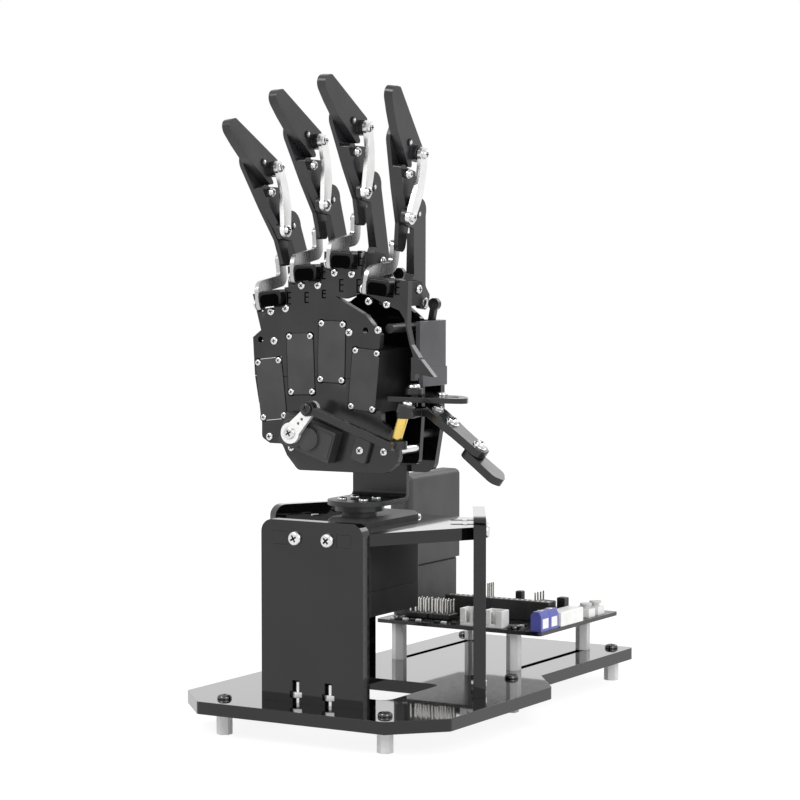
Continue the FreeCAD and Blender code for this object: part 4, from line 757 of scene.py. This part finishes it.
def tilted(x, z, tilt, u, v):
    """A point of a servo's face: u across it, v up it, tilted towards +x."""
    a = math.radians(tilt)
    return x + u * math.cos(a) + v * math.sin(a), z - u * math.sin(a) + v * math.cos(a)


class HAND_OT_servo_faces(bpy.types.Operator):
    """Raised end covers of the four finger servos and their corner screws"""
    bl_idname = "robot_hand.servo_faces"
    bl_label = "Servo faces"

    def execute(self, context):
        covers = bmesh.new()
        screws = bmesh.new()
        for x, z, tilt in SERVO_PLACES:
            face = front_frame(x, z, turn=math.radians(-tilt))
            prism(covers, face, notched_cover(6.2, 12.1), 0, 0.32, 0.12)
            for u in (-4.9, 4.9):
                for v in (-11.0, 11.0):
                    a, b = tilted(x, z, tilt, u, v)
                    seat = front_view(a, b, PALM_FRONT)
                    # the near-black disc round each corner screw is painted shade in the cover's notch
                    turned(screws, aim(seat, FORWARD), [(1.75, 0), (1.75, 0.1)], 20, PAINTED_SHADE)
                    cross_screw(screws, aim(seat, FORWARD, 0.5 + u + v), 1.3, 0.7, 18)
        piece("servo_covers", covers, ("small_case",), "hand")
        piece("servo_cover_screws", screws, ("screw", "recess", "void"), "hand")
        return {"FINISHED"}


def notched_cover(w, h, notch=2.35):
    """Outline of a cover of half width w and half height h, with a notch round each corner screw."""
    outline = []
    for sx, sy, first in ((1, -1, True), (1, 1, False), (-1, 1, True), (-1, -1, False)):
        corner = [(sx * (w - notch), sy * h), (sx * (w - notch), sy * (h - notch * 0.55)),
                  (sx * (w - notch * 0.55), sy * (h - notch)), (sx * w, sy * (h - notch))]
        outline += corner if first else list(reversed(corner))
    return outline


class HAND_OT_thumb_servo_details(bpy.types.Operator):
    """Boss rings, case step, fixing ear and arm screws of the thumb servo"""
    bl_idname = "robot_hand.thumb_servo_details"
    bl_label = "Thumb servo details"

    def execute(self, context):
        x, z, angle = THUMB_SERVO
        case = bmesh.new()
        a = math.radians(angle)
        along = (math.cos(a), math.sin(a))
        second = (x + 7.2 * along[0], z + 7.2 * along[1])
        turned(case, aim(front_view(*second, THUMB_SERVO_FACE), FORWARD),
               [(4.6, 0), (4.6, 1.2), (4.2, 1.5)], 32)
        turned(case, aim(front_view(x, z, THUMB_SERVO_FACE), FORWARD), [(6.0, 0), (6.0, 0.9), (5.6, 1.2)], 32)
        step_at = front_frame(x + 13.2 * along[0], z + 13.2 * along[1], THUMB_SERVO_FACE, a)
        prism(case, step_at, rectangle(-3.2, -5.0, 4.2, 5.0, 0.8), 0, 0.3, 0.1)
        ear = rectangle(-3.4, -4.6, 3.6, 4.6, 1.0)
        prism(case, front_frame(*THUMB_EAR, turn=a), ear, 0, EAR_THICKNESS, 0.2)
        piece("thumb_servo_boss", case, ("small_case",), "hand")
        held = bmesh.new()
        cross_screw(held, aim(front_view(*THUMB_EAR, PALM_FRONT - EAR_THICKNESS), FORWARD, 0.8), 1.7, 0.9)
        screw_piece("thumb_servo_ear_screw", held, "hand")
        arm = bmesh.new()
        cross_screw(arm, aim(front_view(x, z, -27.0), FORWARD, 0.5), 2.5, 1.1)
        pin = Vector(JOINTS["thumb_rod_pivot"]["pos_m"])
        pin.y = -30.6 * MM
        screw_piece("thumb_arm_screw", arm, "thumb_servo_arm")
        stud = bmesh.new()
        cross_screw(stud, aim(pin, FORWARD, 0.3), 2.3, 1.0)
        piece("thumb_arm_ball_screw", stud, ("rod", "recess"), "thumb_servo_arm")
        return {"FINISHED"}


# Finger hardware
LINK_FACE = 6.1
PLATE_FACE = 4.1


class HAND_OT_finger_screws(bpy.types.Operator):
    """Pivot screws, pins and bosses of the four fingers"""
    bl_idname = "robot_hand.finger_screws"
    bl_label = "Finger screws"

    def execute(self, context):
        for name in FINGERS:
            self.dress(FingerPlaces(name))
        return {"FINISHED"}

    def dress(self, f):
        radius = sizes().link_head / MM
        knuckle, first, second = f.pivot("curl"), f.pivot("middle_joint"), f.pivot("tip_joint")
        curl_foot, drive_foot = f.pivot("curl_link_pivot"), f.pivot("drive_link_pivot")
        links = bmesh.new()
        cross_screw(links, f.facing(curl_foot, 0, 0, LINK_FACE), radius, 1.2)
        cross_screw(links, f.facing(curl_foot, -0.2, 25.1, LINK_FACE, True, CURL_LINK_SHARE), radius, 1.3)
        screw_piece(f.name + "_curl_link_screws", links, f.name + "_curl_link")
        drive = bmesh.new()
        tail = f.point(first, 3.4, -12.8, -6.6, MIDDLE_SHARE)
        cross_screw(drive, aim(tail, -f.across), 1.7, 1.0)
        screw_piece(f.name + "_drive_link_screw", drive, f.name + "_middle")
        hand = bmesh.new()
        cross_screw(hand, f.facing(drive_foot, 0, 0, -7.0, False), 2.3, 1.2)
        cross_screw(hand, f.facing(knuckle, 0, 0, 6.0), 1.9, 1.0)
        cross_screw(hand, f.facing(knuckle, 0, 0, -1.5, False), 1.9, 1.0)
        screw_piece(f.name + "_knuckle_screws", hand, "hand")
        bone = bmesh.new()
        pin_end = [(0.85, 0), (0.85, 0.2), (0.6, 0.32)]
        turned(bone, f.facing(first, 0, 0, 4.9), pin_end, 20)
        turned(bone, f.facing(second, 0, 0, 2.4), pin_end, 20)
        screw_with_washer(bone, f.facing(first, -11.6, 13.6, 3.4, True, MIDDLE_SHARE), 1.5, 1.3)
        screw_piece(f.name + "_middle_screws", bone, f.name + "_middle")
        lever = bmesh.new()
        turned(lever, f.facing(knuckle, 10, -5, PLATE_FACE), [(2.1, 0), (2.1, 0.35), (1.3, 0.6)], 24)
        piece(f.name + "_lever_stud", lever, ("screw",), f.name + "_proximal")


class HAND_OT_servo_arm_screws(bpy.types.Operator):
    """Centre screws and link pins of the servo arms behind the palm"""
    bl_idname = "robot_hand.servo_arm_screws"
    bl_label = "Servo arm screws"

    def execute(self, context):
        for name in FINGERS:
            arm = bmesh.new()
            hub = Vector(JOINTS[name + "_servo_pivot"]["pos_m"])
            hub.y = 10.9 * MM
            cross_screw(arm, aim(hub, BACKWARD, 0.4), 1.9, 1.0)
            pin = Vector(JOINTS[name + "_rod_pivot"]["pos_m"])
            pin.y = 13.1 * MM
            cross_screw(arm, aim(pin, BACKWARD, 0.9), 1.5, 0.8)
            screw_piece(name + "_servo_arm_screws", arm, name + "_servo_arm")
        return {"FINISHED"}


# Thumb hardware, in millimetres
SHELF = ((21.5, -14), (39.5, -14), (50.5, -12.4), (53.6, -11.2), (54.4, -8.8), (52.6, -4.6), (49.0, 0.4),
         (44.2, 4.6), (40.0, 5.5), (21.5, 6))
SHELF_HOLE = ((49.3, -6.2), (46.6, -2.0), (44.4, -1.4), (42.2, -4.6), (42.8, -6.6))
THUMB_SIDE = ((-4, 3.0), (-2.6, 5.0), (1, 5.8), (7, 5.6), (13, 4.8), (20, 4.6), (24, 4.5), (26.3, 3.2),
              (27, 1.2))
THUMB_SLOPE = math.radians(36)
THUMB_SHEET, THUMB_BEND, THUMB_HUB = 3.2, 9, 5.2
THUMB_LEAN = Vector((0.33, 0, 0.944)).normalized()
SPACER_HEIGHT, SPACER_RADIUS = 10.2, 2.05
CAP_HEIGHT, CAP_RADIUS = 4.1, 3.4
COLLAR_LEVEL, COLLAR_HEIGHT = 8.0, 2.7


class HAND_OT_thumb_shelf(bpy.types.Operator):
    """Pointed shelf beside the palm with its rounded opening"""
    bl_idname = "robot_hand.thumb_shelf"
    bl_label = "Thumb shelf"

    def execute(self, context):
        bm = bmesh.new()
        matrix = Matrix.Translation(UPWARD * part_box("thumb_bracket")[0].z)
        sheet_with_hole(bm, matrix, SHELF, SHELF_HOLE, 0, 2)
        item = piece("thumb_shelf", bm, ("plate",), "hand")
        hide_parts("thumb_bracket")
        return {"FINISHED"}


def sheet_with_hole(bm, matrix, outline, hole, low, high):
    """A flat sheet with one opening through it."""
    loops = []
    for z in (low, high):
        for points in (outline, hole):
            loops.append([vertex(bm, matrix, x, y, z) for x, y in points])
    for i in (0, 1):
        bridge(bm, loops[i], loops[i + 2])
    for level in (0, 2):
        edges = []
        for loop in loops[level:level + 2]:
            for i, vert in enumerate(loop):
                after = loop[(i + 1) % len(loop)]
                edges.append(bm.edges.get((vert, after)) or bm.edges.new((vert, after)))
        bmesh.ops.triangle_fill(bm, use_beauty=True, use_dissolve=False, edges=edges)


class HAND_OT_thumb_hardware(bpy.types.Operator):
    """Carrier of the thumb with its brass spacer, domed screws, washers and tip screw"""
    bl_idname = "robot_hand.thumb_hardware"
    bl_label = "Thumb hardware"

    def execute(self, context):
        axis = Vector(JOINTS["thumb_close"]["pos_m"])
        foot = axis + Vector((2, -16.4, -8.1)) * MM
        head = foot + THUMB_LEAN * SPACER_HEIGHT * MM
        start = axis + Vector((THUMB_BEND, 0, 0)) * MM
        spacer = bmesh.new()
        turned(spacer, aim(foot, THUMB_LEAN), bevelled(SPACER_RADIUS, SPACER_HEIGHT, 0.25), 32)
        piece("thumb_spacer", spacer, ("brass",), "thumb_carrier")
        self.carrier(axis, foot, head, start)
        down = Vector((math.cos(THUMB_SLOPE), 0, -math.sin(THUMB_SLOPE)))
        normal = Vector((math.sin(THUMB_SLOPE), 0, math.cos(THUMB_SLOPE)))
        screws = bmesh.new()
        cross_screw(screws, aim(head + THUMB_LEAN * CAP_HEIGHT * MM, THUMB_LEAN, 0.4), 1.9, 1.2)
        collar_top = axis + UPWARD * (COLLAR_LEVEL + COLLAR_HEIGHT) * MM
        cross_screw(screws, aim(collar_top, UPWARD, 0.9), 2.6, 1.6)
        for along in (-0.6, 8.0):
            seat = start + (down * along + normal * THUMB_SHEET) * MM
            screw_with_washer(screws, aim(seat, normal, along), 2.3, 1.8)
        screw_piece("thumb_screws", screws, "thumb_carrier")
        collar = bmesh.new()
        turned(collar, aim(axis + UPWARD * COLLAR_LEVEL * MM, UPWARD),
               [(3.4, 0), (3.6, 0.3), (3.6, 2.4), (3.2, COLLAR_HEIGHT)], 28)
        piece("thumb_axle_collar", collar, ("rod",), "thumb_carrier")
        tip = bmesh.new()
        seat = Vector(JOINTS["thumb_tip_joint"]["pos_m"]) + normal * THUMB_SHEET * MM
        screw_with_washer(tip, aim(seat, normal, 0.2), 2.3, 1.8)
        screw_piece("thumb_tip_screw", tip, "thumb_tip")
        shelf = bmesh.new()
        cross_screw(shelf, aim(front_view(37.5, 120.4, 1.5), UPWARD, 0.7), 2.2, 1.4)
        screw_piece("thumb_bracket_screw", shelf, "hand")
        return {"FINISHED"}

    def carrier(self, axis, foot, head, start):
        """Hub, arm, leaning post and the broad sloping plate, in place of the plain carrier."""
        bm = bmesh.new()
        arm_end = head + THUMB_LEAN * 1.5 * MM
        run = Vector((arm_end.x - axis.x, arm_end.y - axis.y))
        turn = Matrix.Translation(axis) @ Matrix.Rotation(math.atan2(run.y, run.x), 4, "Z")
        prism(bm, turn, rounded_bar(run.length / MM, THUMB_HUB, CAP_RADIUS), 0, THUMB_SHEET, 0.25)
        prism(bm, Matrix.Translation(axis), rectangle(0, -THUMB_HUB, THUMB_BEND, THUMB_HUB), 0, THUMB_SHEET,
              0.2)
        turned(bm, Matrix.Translation(foot), [(1.4, -7.0), (1.4, 0.3)], 24)
        turned(bm, aim(head, THUMB_LEAN), bevelled(CAP_RADIUS, CAP_HEIGHT, 0.3), 32)
        turned(bm, Matrix.Translation(axis), [(SHANK, -0.5), (SHANK, COLLAR_LEVEL + COLLAR_HEIGHT)], 24)
        outline = [(x, -y) for x, y in THUMB_SIDE] + list(reversed(THUMB_SIDE))
        prism(bm, Matrix.Translation(start) @ Matrix.Rotation(THUMB_SLOPE, 4, "Y"), outline, 0, THUMB_SHEET,
              0.25)
        item = piece("thumb_frame", bm, ("plate",), "thumb_carrier")
        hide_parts("thumb_carrier")


def rounded_bar(length, first, second, steps=10):
    """Outline of a bar along X with a round end of its own radius at either end."""
    points = []
    for i in range(steps + 1):
        a = math.pi / 2 + math.pi * i / steps
        points.append((first * math.cos(a), first * math.sin(a)))
    for i in range(steps + 1):
        a = -math.pi / 2 + math.pi * i / steps
        points.append((length + second * math.cos(a), second * math.sin(a)))
    return points


# Wrist and pan servo
HORN_SCREW_RADIUS = 7 * MM
FLANGE_LEVEL = 62.5 * MM
FLANGE_SCREWS = ((-5, -14), (-5, 35.5), (5, -14), (5, 35.5))


class HAND_OT_wrist_details(bpy.types.Operator):
    """Horn screws on the bracket and the flange screws of the pan servo"""
    bl_idname = "robot_hand.wrist_details"
    bl_label = "Wrist details"

    def execute(self, context):
        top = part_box("pan_horn")[1].z + 2 * MM
        screws = bmesh.new()
        for i in range(4):
            a = math.radians(45 + 90 * i)
            seat = Vector((HORN_SCREW_RADIUS * math.cos(a), HORN_SCREW_RADIUS * math.sin(a), top))
            cross_screw(screws, aim(seat, UPWARD, i), 1.9, 1.1)
        cross_screw(screws, aim((0, 0, top - 1.9 * MM), UPWARD, 0.3), 2.8, 1.5)
        screw_piece("horn_screws", screws, "hand")
        flange = bmesh.new()
        level = BASE_TOP + FLANGE_LEVEL + STAND_SHEET * MM
        for x, y in FLANGE_SCREWS:
            cross_screw(flange, aim((x * MM, y * MM, level), UPWARD, x + y), 2.4, 1.4)
        screw_piece("servo_flange_screws", flange, "stand")
        return {"FINISHED"}


# Control board, in millimetres: rows of pins start at x and y, sockets and chips go from corner to corner
HEADER_ROWS = tuple((x, y) for x in (-26.0, -15.2) for y in (84.2, 86.8, 89.4))
REAR_PINS = ((-11, 126, 1.6, 11.0), (14, 123.5, HEADER_PITCH, 9.0))
ROW_PINS = 4
LONG_HEADER_START, LONG_HEADER_PINS = -18, 20
CHIPS = ((20, 112, 27, 118, 7.0, 0.3), (6, 120, 9, 123, 9.4, 0.3), (32, 109.3, 35.8, 113.1, 9.7, 0.3),
         (-2, 126, 8, 134, 1.6, 0.2))
SMALL_PARTS = tuple((-30 + 3.2 * i, 75.6) for i in range(5)) \
    + ((-8, 75.4), (-4.6, 75.4), (0, 76.2), (28.4, 84), (28.4, 87))
TERMINAL_SIDE = ((38.2, 0), (43.3, 0), (43.3, 6.3), (42.2, 8.4), (39.4, 8.4), (38.2, 6.9))
TERMINAL_HALVES = ((73.8, 81.45), (81.65, 89.3))
TERMINAL_CENTRES = (77.6, 85.5)
TERMINAL_TOP = 8.4
WHITE_SOCKETS = ((4.5, 73.6, 12.0, 80.0, 7.5), (16.2, 73.6, 24.6, 80.0, 7.5))


def housing(bm, x0, y0, x1, y1, low, high, chamfer=0.15, material=0):
    prism(bm, Matrix.Translation(UPWARD * BOARD_TOP), rectangle(x0, y0, x1, y1), low, high, chamfer, material)


def header_pin(bm, x, y, low, high):
    """A square pin, in the second material."""
    half = sizes().pin_width / MM / 2
    housing(bm, x - half, y - half, x + half, y + half, low, high, 0.18, 1)


def open_socket(bm, x0, y0, x1, y1, height, pins):
    """A white wire socket, open at the front, with its keying slot and pins."""
    wall = 0.8
    housing(bm, x0, y0, x1, y1, 0, 1.2)
    housing(bm, x0, y0, x0 + wall, y1, 1.2, height)
    housing(bm, x1 - wall, y0, x1, y1, 1.2, height)
    housing(bm, x0 + wall, y1 - wall, x1 - wall, y1, 1.2, height)
    third = (x1 - x0 - 2 * wall) * 0.3
    housing(bm, x0 + wall, y0, x0 + wall + third, y0 + wall, 1.2, height)
    housing(bm, x1 - wall - third, y0, x1 - wall, y0 + wall, 1.2, height)
    for i in range(pins):
        x = x0 + wall + (x1 - x0 - 2 * wall) * (i + 0.5) / pins
        header_pin(bm, x, (y0 + y1) / 2, 1.2, height - 1.2)


class HAND_OT_board_parts(bpy.types.Operator):
    """Headers, sockets, chips and small components on the control board"""
    bl_idname = "robot_hand.board_parts"
    bl_label = "Board parts"

    def execute(self, context):
        white = bmesh.new()
        for x0, y0, x1, y1, height in WHITE_SOCKETS:
            open_socket(white, x0, y0, x1, y1, height, 3)
        housing(white, 36.4, 91, 43.6, 111.5, 0, 6.2, 0.25)
        item = piece("white_sockets", white, ("socket", "pin"), "stand")
        black = bmesh.new()
        for start, y in HEADER_ROWS:
            for i in range(ROW_PINS):
                x = start + i * HEADER_PITCH
                housing(black, x - 1.2, y - 1.2, x + 1.2, y + 1.2, 0, 2.5, 0.35)
                header_pin(black, x, y, 2.5, 8.6)
        for i in range(LONG_HEADER_PINS):
            x = LONG_HEADER_START + i * HEADER_PITCH
            housing(black, x, 100, x + 2.5, 105, 0, 8.5, 0.2)
            housing(black, x + 0.7, 101.6, x + 1.8, 103.4, 8.4, 8.52, 0.04, 1)
        for x, y, pitch, height in REAR_PINS:
            housing(black, x - 1.2, y - 1.2, x + 1.2, y + (ROW_PINS - 1) * pitch + 1.2, 0, 2.5, 0.3)
            for i in range(ROW_PINS):
                header_pin(black, x, y + i * pitch, 2.5, height)
        for x0, y0, x1, y1, height, chamfer in CHIPS:
            housing(black, x0, y0, x1, y1, 0, height, chamfer)
        dark = piece("black_headers", black, ("header", "pin"), "stand")
        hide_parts("board_connectors")
        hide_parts("board_connectors")
        small = bmesh.new()
        for i, (x, y) in enumerate(SMALL_PARTS):
            housing(small, x - 1.1, y - 0.7, x + 1.1, y + 0.7, 0, 0.8, 0.1, i % 2)
        piece("small_components", small, ("socket", "header"), "stand")
        self.terminal()
        return {"FINISHED"}

    def terminal(self):
        """Two-way terminal block: sloped shoulder, wire openings to the right and clamp screws."""
        block = bmesh.new()
        swapped = Matrix(((1, 0, 0, 0), (0, 0, 1, 0), (0, 1, 0, BOARD_TOP), (0, 0, 0, 1)))
        for start, end in TERMINAL_HALVES:
            prism(block, swapped, TERMINAL_SIDE, start, end, 0.12)
        face = TERMINAL_SIDE[1][0] * MM
        tops = bmesh.new()
        for centre in TERMINAL_CENTRES:
            opening = Matrix.Translation((face, centre * MM, BOARD_TOP)) \
                @ Matrix.Rotation(math.radians(90), 4, "Y")
            prism(block, opening, rectangle(-5.3, -2.5, -1.2, 2.5), -0.05, 0.12, 0.04, 1)
            seat = (40.8 * MM, centre * MM, BOARD_TOP + TERMINAL_TOP * MM)
            cross_screw(tops, aim(seat, UPWARD, centre), 1.3, 0.3)
        item = piece("terminal_body", block, ("violet", "socket"), "stand")
        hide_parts("terminal_block")
        screw_piece("terminal_screws", tops, "stand")


class HAND_OT_finishes(bpy.types.Operator):
    """Gives every carried-over node its finish"""
    bl_idname = "robot_hand.finishes"
    bl_label = "Finishes"

    def execute(self, context):
        make_finishes()
        for material, names in NODE_FINISH.items():
            for name in names:
                self.dress(name, material)
        for finger in FINGERS:
            for part, material in FINGER_FINISH.items():
                self.dress(finger + "_" + part, material)
        return {"FINISHED"}

    def dress(self, name, material):
        item = frame["nodes"][name]
        item.data.materials.clear()
        item.data.materials.append(finish(material))


# Stage
def white_for_rays(tree, plain, bright):
    """Mixes two shaders: the bright one for what the camera, gloss and glass see."""
    path = tree.nodes.new("ShaderNodeLightPath")
    seen = path.outputs["Is Camera Ray"]
    for kind in ("Is Glossy Ray", "Is Transmission Ray"):
        either = tree.nodes.new("ShaderNodeMath")
        either.operation = "MAXIMUM"
        tree.links.new(seen, either.inputs[0])
        tree.links.new(path.outputs[kind], either.inputs[1])
        seen = either.outputs[0]
    mix = tree.nodes.new("ShaderNodeMixShader")
    for socket, source in zip(mix.inputs, (seen, plain, bright)):
        tree.links.new(source, socket)
    return mix.outputs[0]


def soft_lamp(name, place, target, size, power):
    data = bpy.data.lights.new(name, "AREA")
    data.shape = "DISK"
    data.size = size
    data.energy = power
    lamp = bpy.data.objects.new(name, data)
    bpy.context.scene.collection.objects.link(lamp)
    lamp.location = place
    lamp.rotation_euler = (Vector(target) - Vector(place)).to_track_quat("-Z", "Y").to_euler()


class HAND_OT_stage(bpy.types.Operator):
    """White room, floor, soft lamps and the camera"""
    bl_idname = "robot_hand.stage"
    bl_label = "Stage"

    def execute(self, context):
        scene = context.scene
        scene.view_settings.view_transform = "Standard"
        self.room(scene)
        self.floor()
        soft_lamp("key_lamp", (-0.5, -1.0, 1.1), (0, 0, 0.12), 0.7, 9)
        soft_lamp("side_lamp", (1.1, -0.5, 0.7), (0, 0, 0.12), 0.8, 6)
        soft_lamp("rear_lamp", (0.3, 1.2, 0.9), (0, 0, 0.15), 0.8, 4)
        data = bpy.data.cameras.new("photo_camera")
        data.lens = 123.3
        data.sensor_width = 36
        data.clip_end = 20
        camera = bpy.data.objects.new("photo_camera", data)
        scene.collection.objects.link(camera)
        camera.location = (0.5747, -0.9279, 0.2051)
        camera.rotation_euler = (math.radians(86.139), 0, math.radians(30.92))
        scene.camera = camera
        return {"FINISHED"}

    def room(self, scene):
        world = bpy.data.worlds.new("white_room")
        world.use_nodes = True
        tree = world.node_tree
        plain = tree.nodes["Background"]
        plain.inputs["Strength"].default_value = 0.7
        plain.inputs["Color"].default_value = (1, 1, 1, 1)
        bright = tree.nodes.new("ShaderNodeBackground")
        bright.inputs["Color"].default_value = (1, 1, 1, 1)
        bright.inputs["Strength"].default_value = 1.0
        out = tree.nodes["World Output"]
        tree.links.new(white_for_rays(tree, plain.outputs[0], bright.outputs[0]), out.inputs["Surface"])
        scene.world = world

    def floor(self):
        bm = bmesh.new()
        bmesh.ops.create_grid(bm, x_segments=1, y_segments=1, size=3.0)
        mesh = bpy.data.meshes.new("studio_floor")
        bm.to_mesh(mesh)
        bm.free()
        item = bpy.data.objects.new("studio_floor", mesh)
        bpy.context.scene.collection.objects.link(item)
        item.location = (0, 0.5, -0.0001)
        material = bpy.data.materials.new("pale_floor")
        material.use_nodes = True
        tree = material.node_tree
        paint = tree.nodes["Principled BSDF"]
        paint.inputs["Base Color"].default_value = (0.93, 0.93, 0.93, 1)
        paint.inputs["Roughness"].default_value = 0.85
        paint.inputs["Specular IOR Level"].default_value = 0.1
        glow = tree.nodes.new("ShaderNodeEmission")
        glow.inputs["Color"].default_value = (1, 1, 1, 1)
        glow.inputs["Strength"].default_value = 1.12
        part = tree.nodes.new("ShaderNodeMixShader")
        part.inputs[0].default_value = 0.8
        tree.links.new(paint.outputs[0], part.inputs[1])
        tree.links.new(glow.outputs[0], part.inputs[2])
        out = tree.nodes["Material Output"]
        tree.links.new(white_for_rays(tree, paint.outputs[0], part.outputs[0]), out.inputs["Surface"])
        mesh.materials.append(material)


class HAND_PT_sidebar(bpy.types.Panel):
    """The steps of the robot hand, in the order in which they run"""
    bl_idname = "HAND_PT_sidebar"
    bl_label = "Robot Hand"
    bl_space_type = "VIEW_3D"
    bl_region_type = "UI"
    bl_category = "Robot Hand"

    def draw(self, context):
        column = self.layout.column()
        for settings in (sizes(), colours()):
            for name in type(settings).__annotations__:
                column.prop(settings, name)
        for step in STEPS:
            column.operator("robot_hand." + step)


STEPS = ("finishes", "frame_screws", "palm_panels", "palm_screws", "palm_slots", "servo_faces",
         "thumb_servo_details", "finger_screws", "servo_arm_screws", "thumb_shelf", "thumb_hardware",
         "wrist_details", "board_parts", "stage")
CLASSES = (HandSizes, HandColours, HAND_OT_finishes, HAND_OT_frame_screws, HAND_OT_palm_panels,
           HAND_OT_palm_screws, HAND_OT_palm_slots, HAND_OT_servo_faces, HAND_OT_thumb_servo_details,
           HAND_OT_finger_screws, HAND_OT_servo_arm_screws, HAND_OT_thumb_shelf, HAND_OT_thumb_hardware,
           HAND_OT_wrist_details, HAND_OT_board_parts, HAND_OT_stage, HAND_PT_sidebar)


def register():
    for item in CLASSES:
        bpy.utils.register_class(item)
    bpy.types.Scene.hand_sizes = PointerProperty(type=HandSizes)
    bpy.types.Scene.hand_colours = PointerProperty(type=HandColours)


def unregister():
    del bpy.types.Scene.hand_colours
    del bpy.types.Scene.hand_sizes
    for item in reversed(CLASSES):
        bpy.utils.unregister_class(item)


def main():
    register()
    for step in STEPS:
        getattr(bpy.ops.robot_hand, step)()


if __name__ == "__main__":
    main()
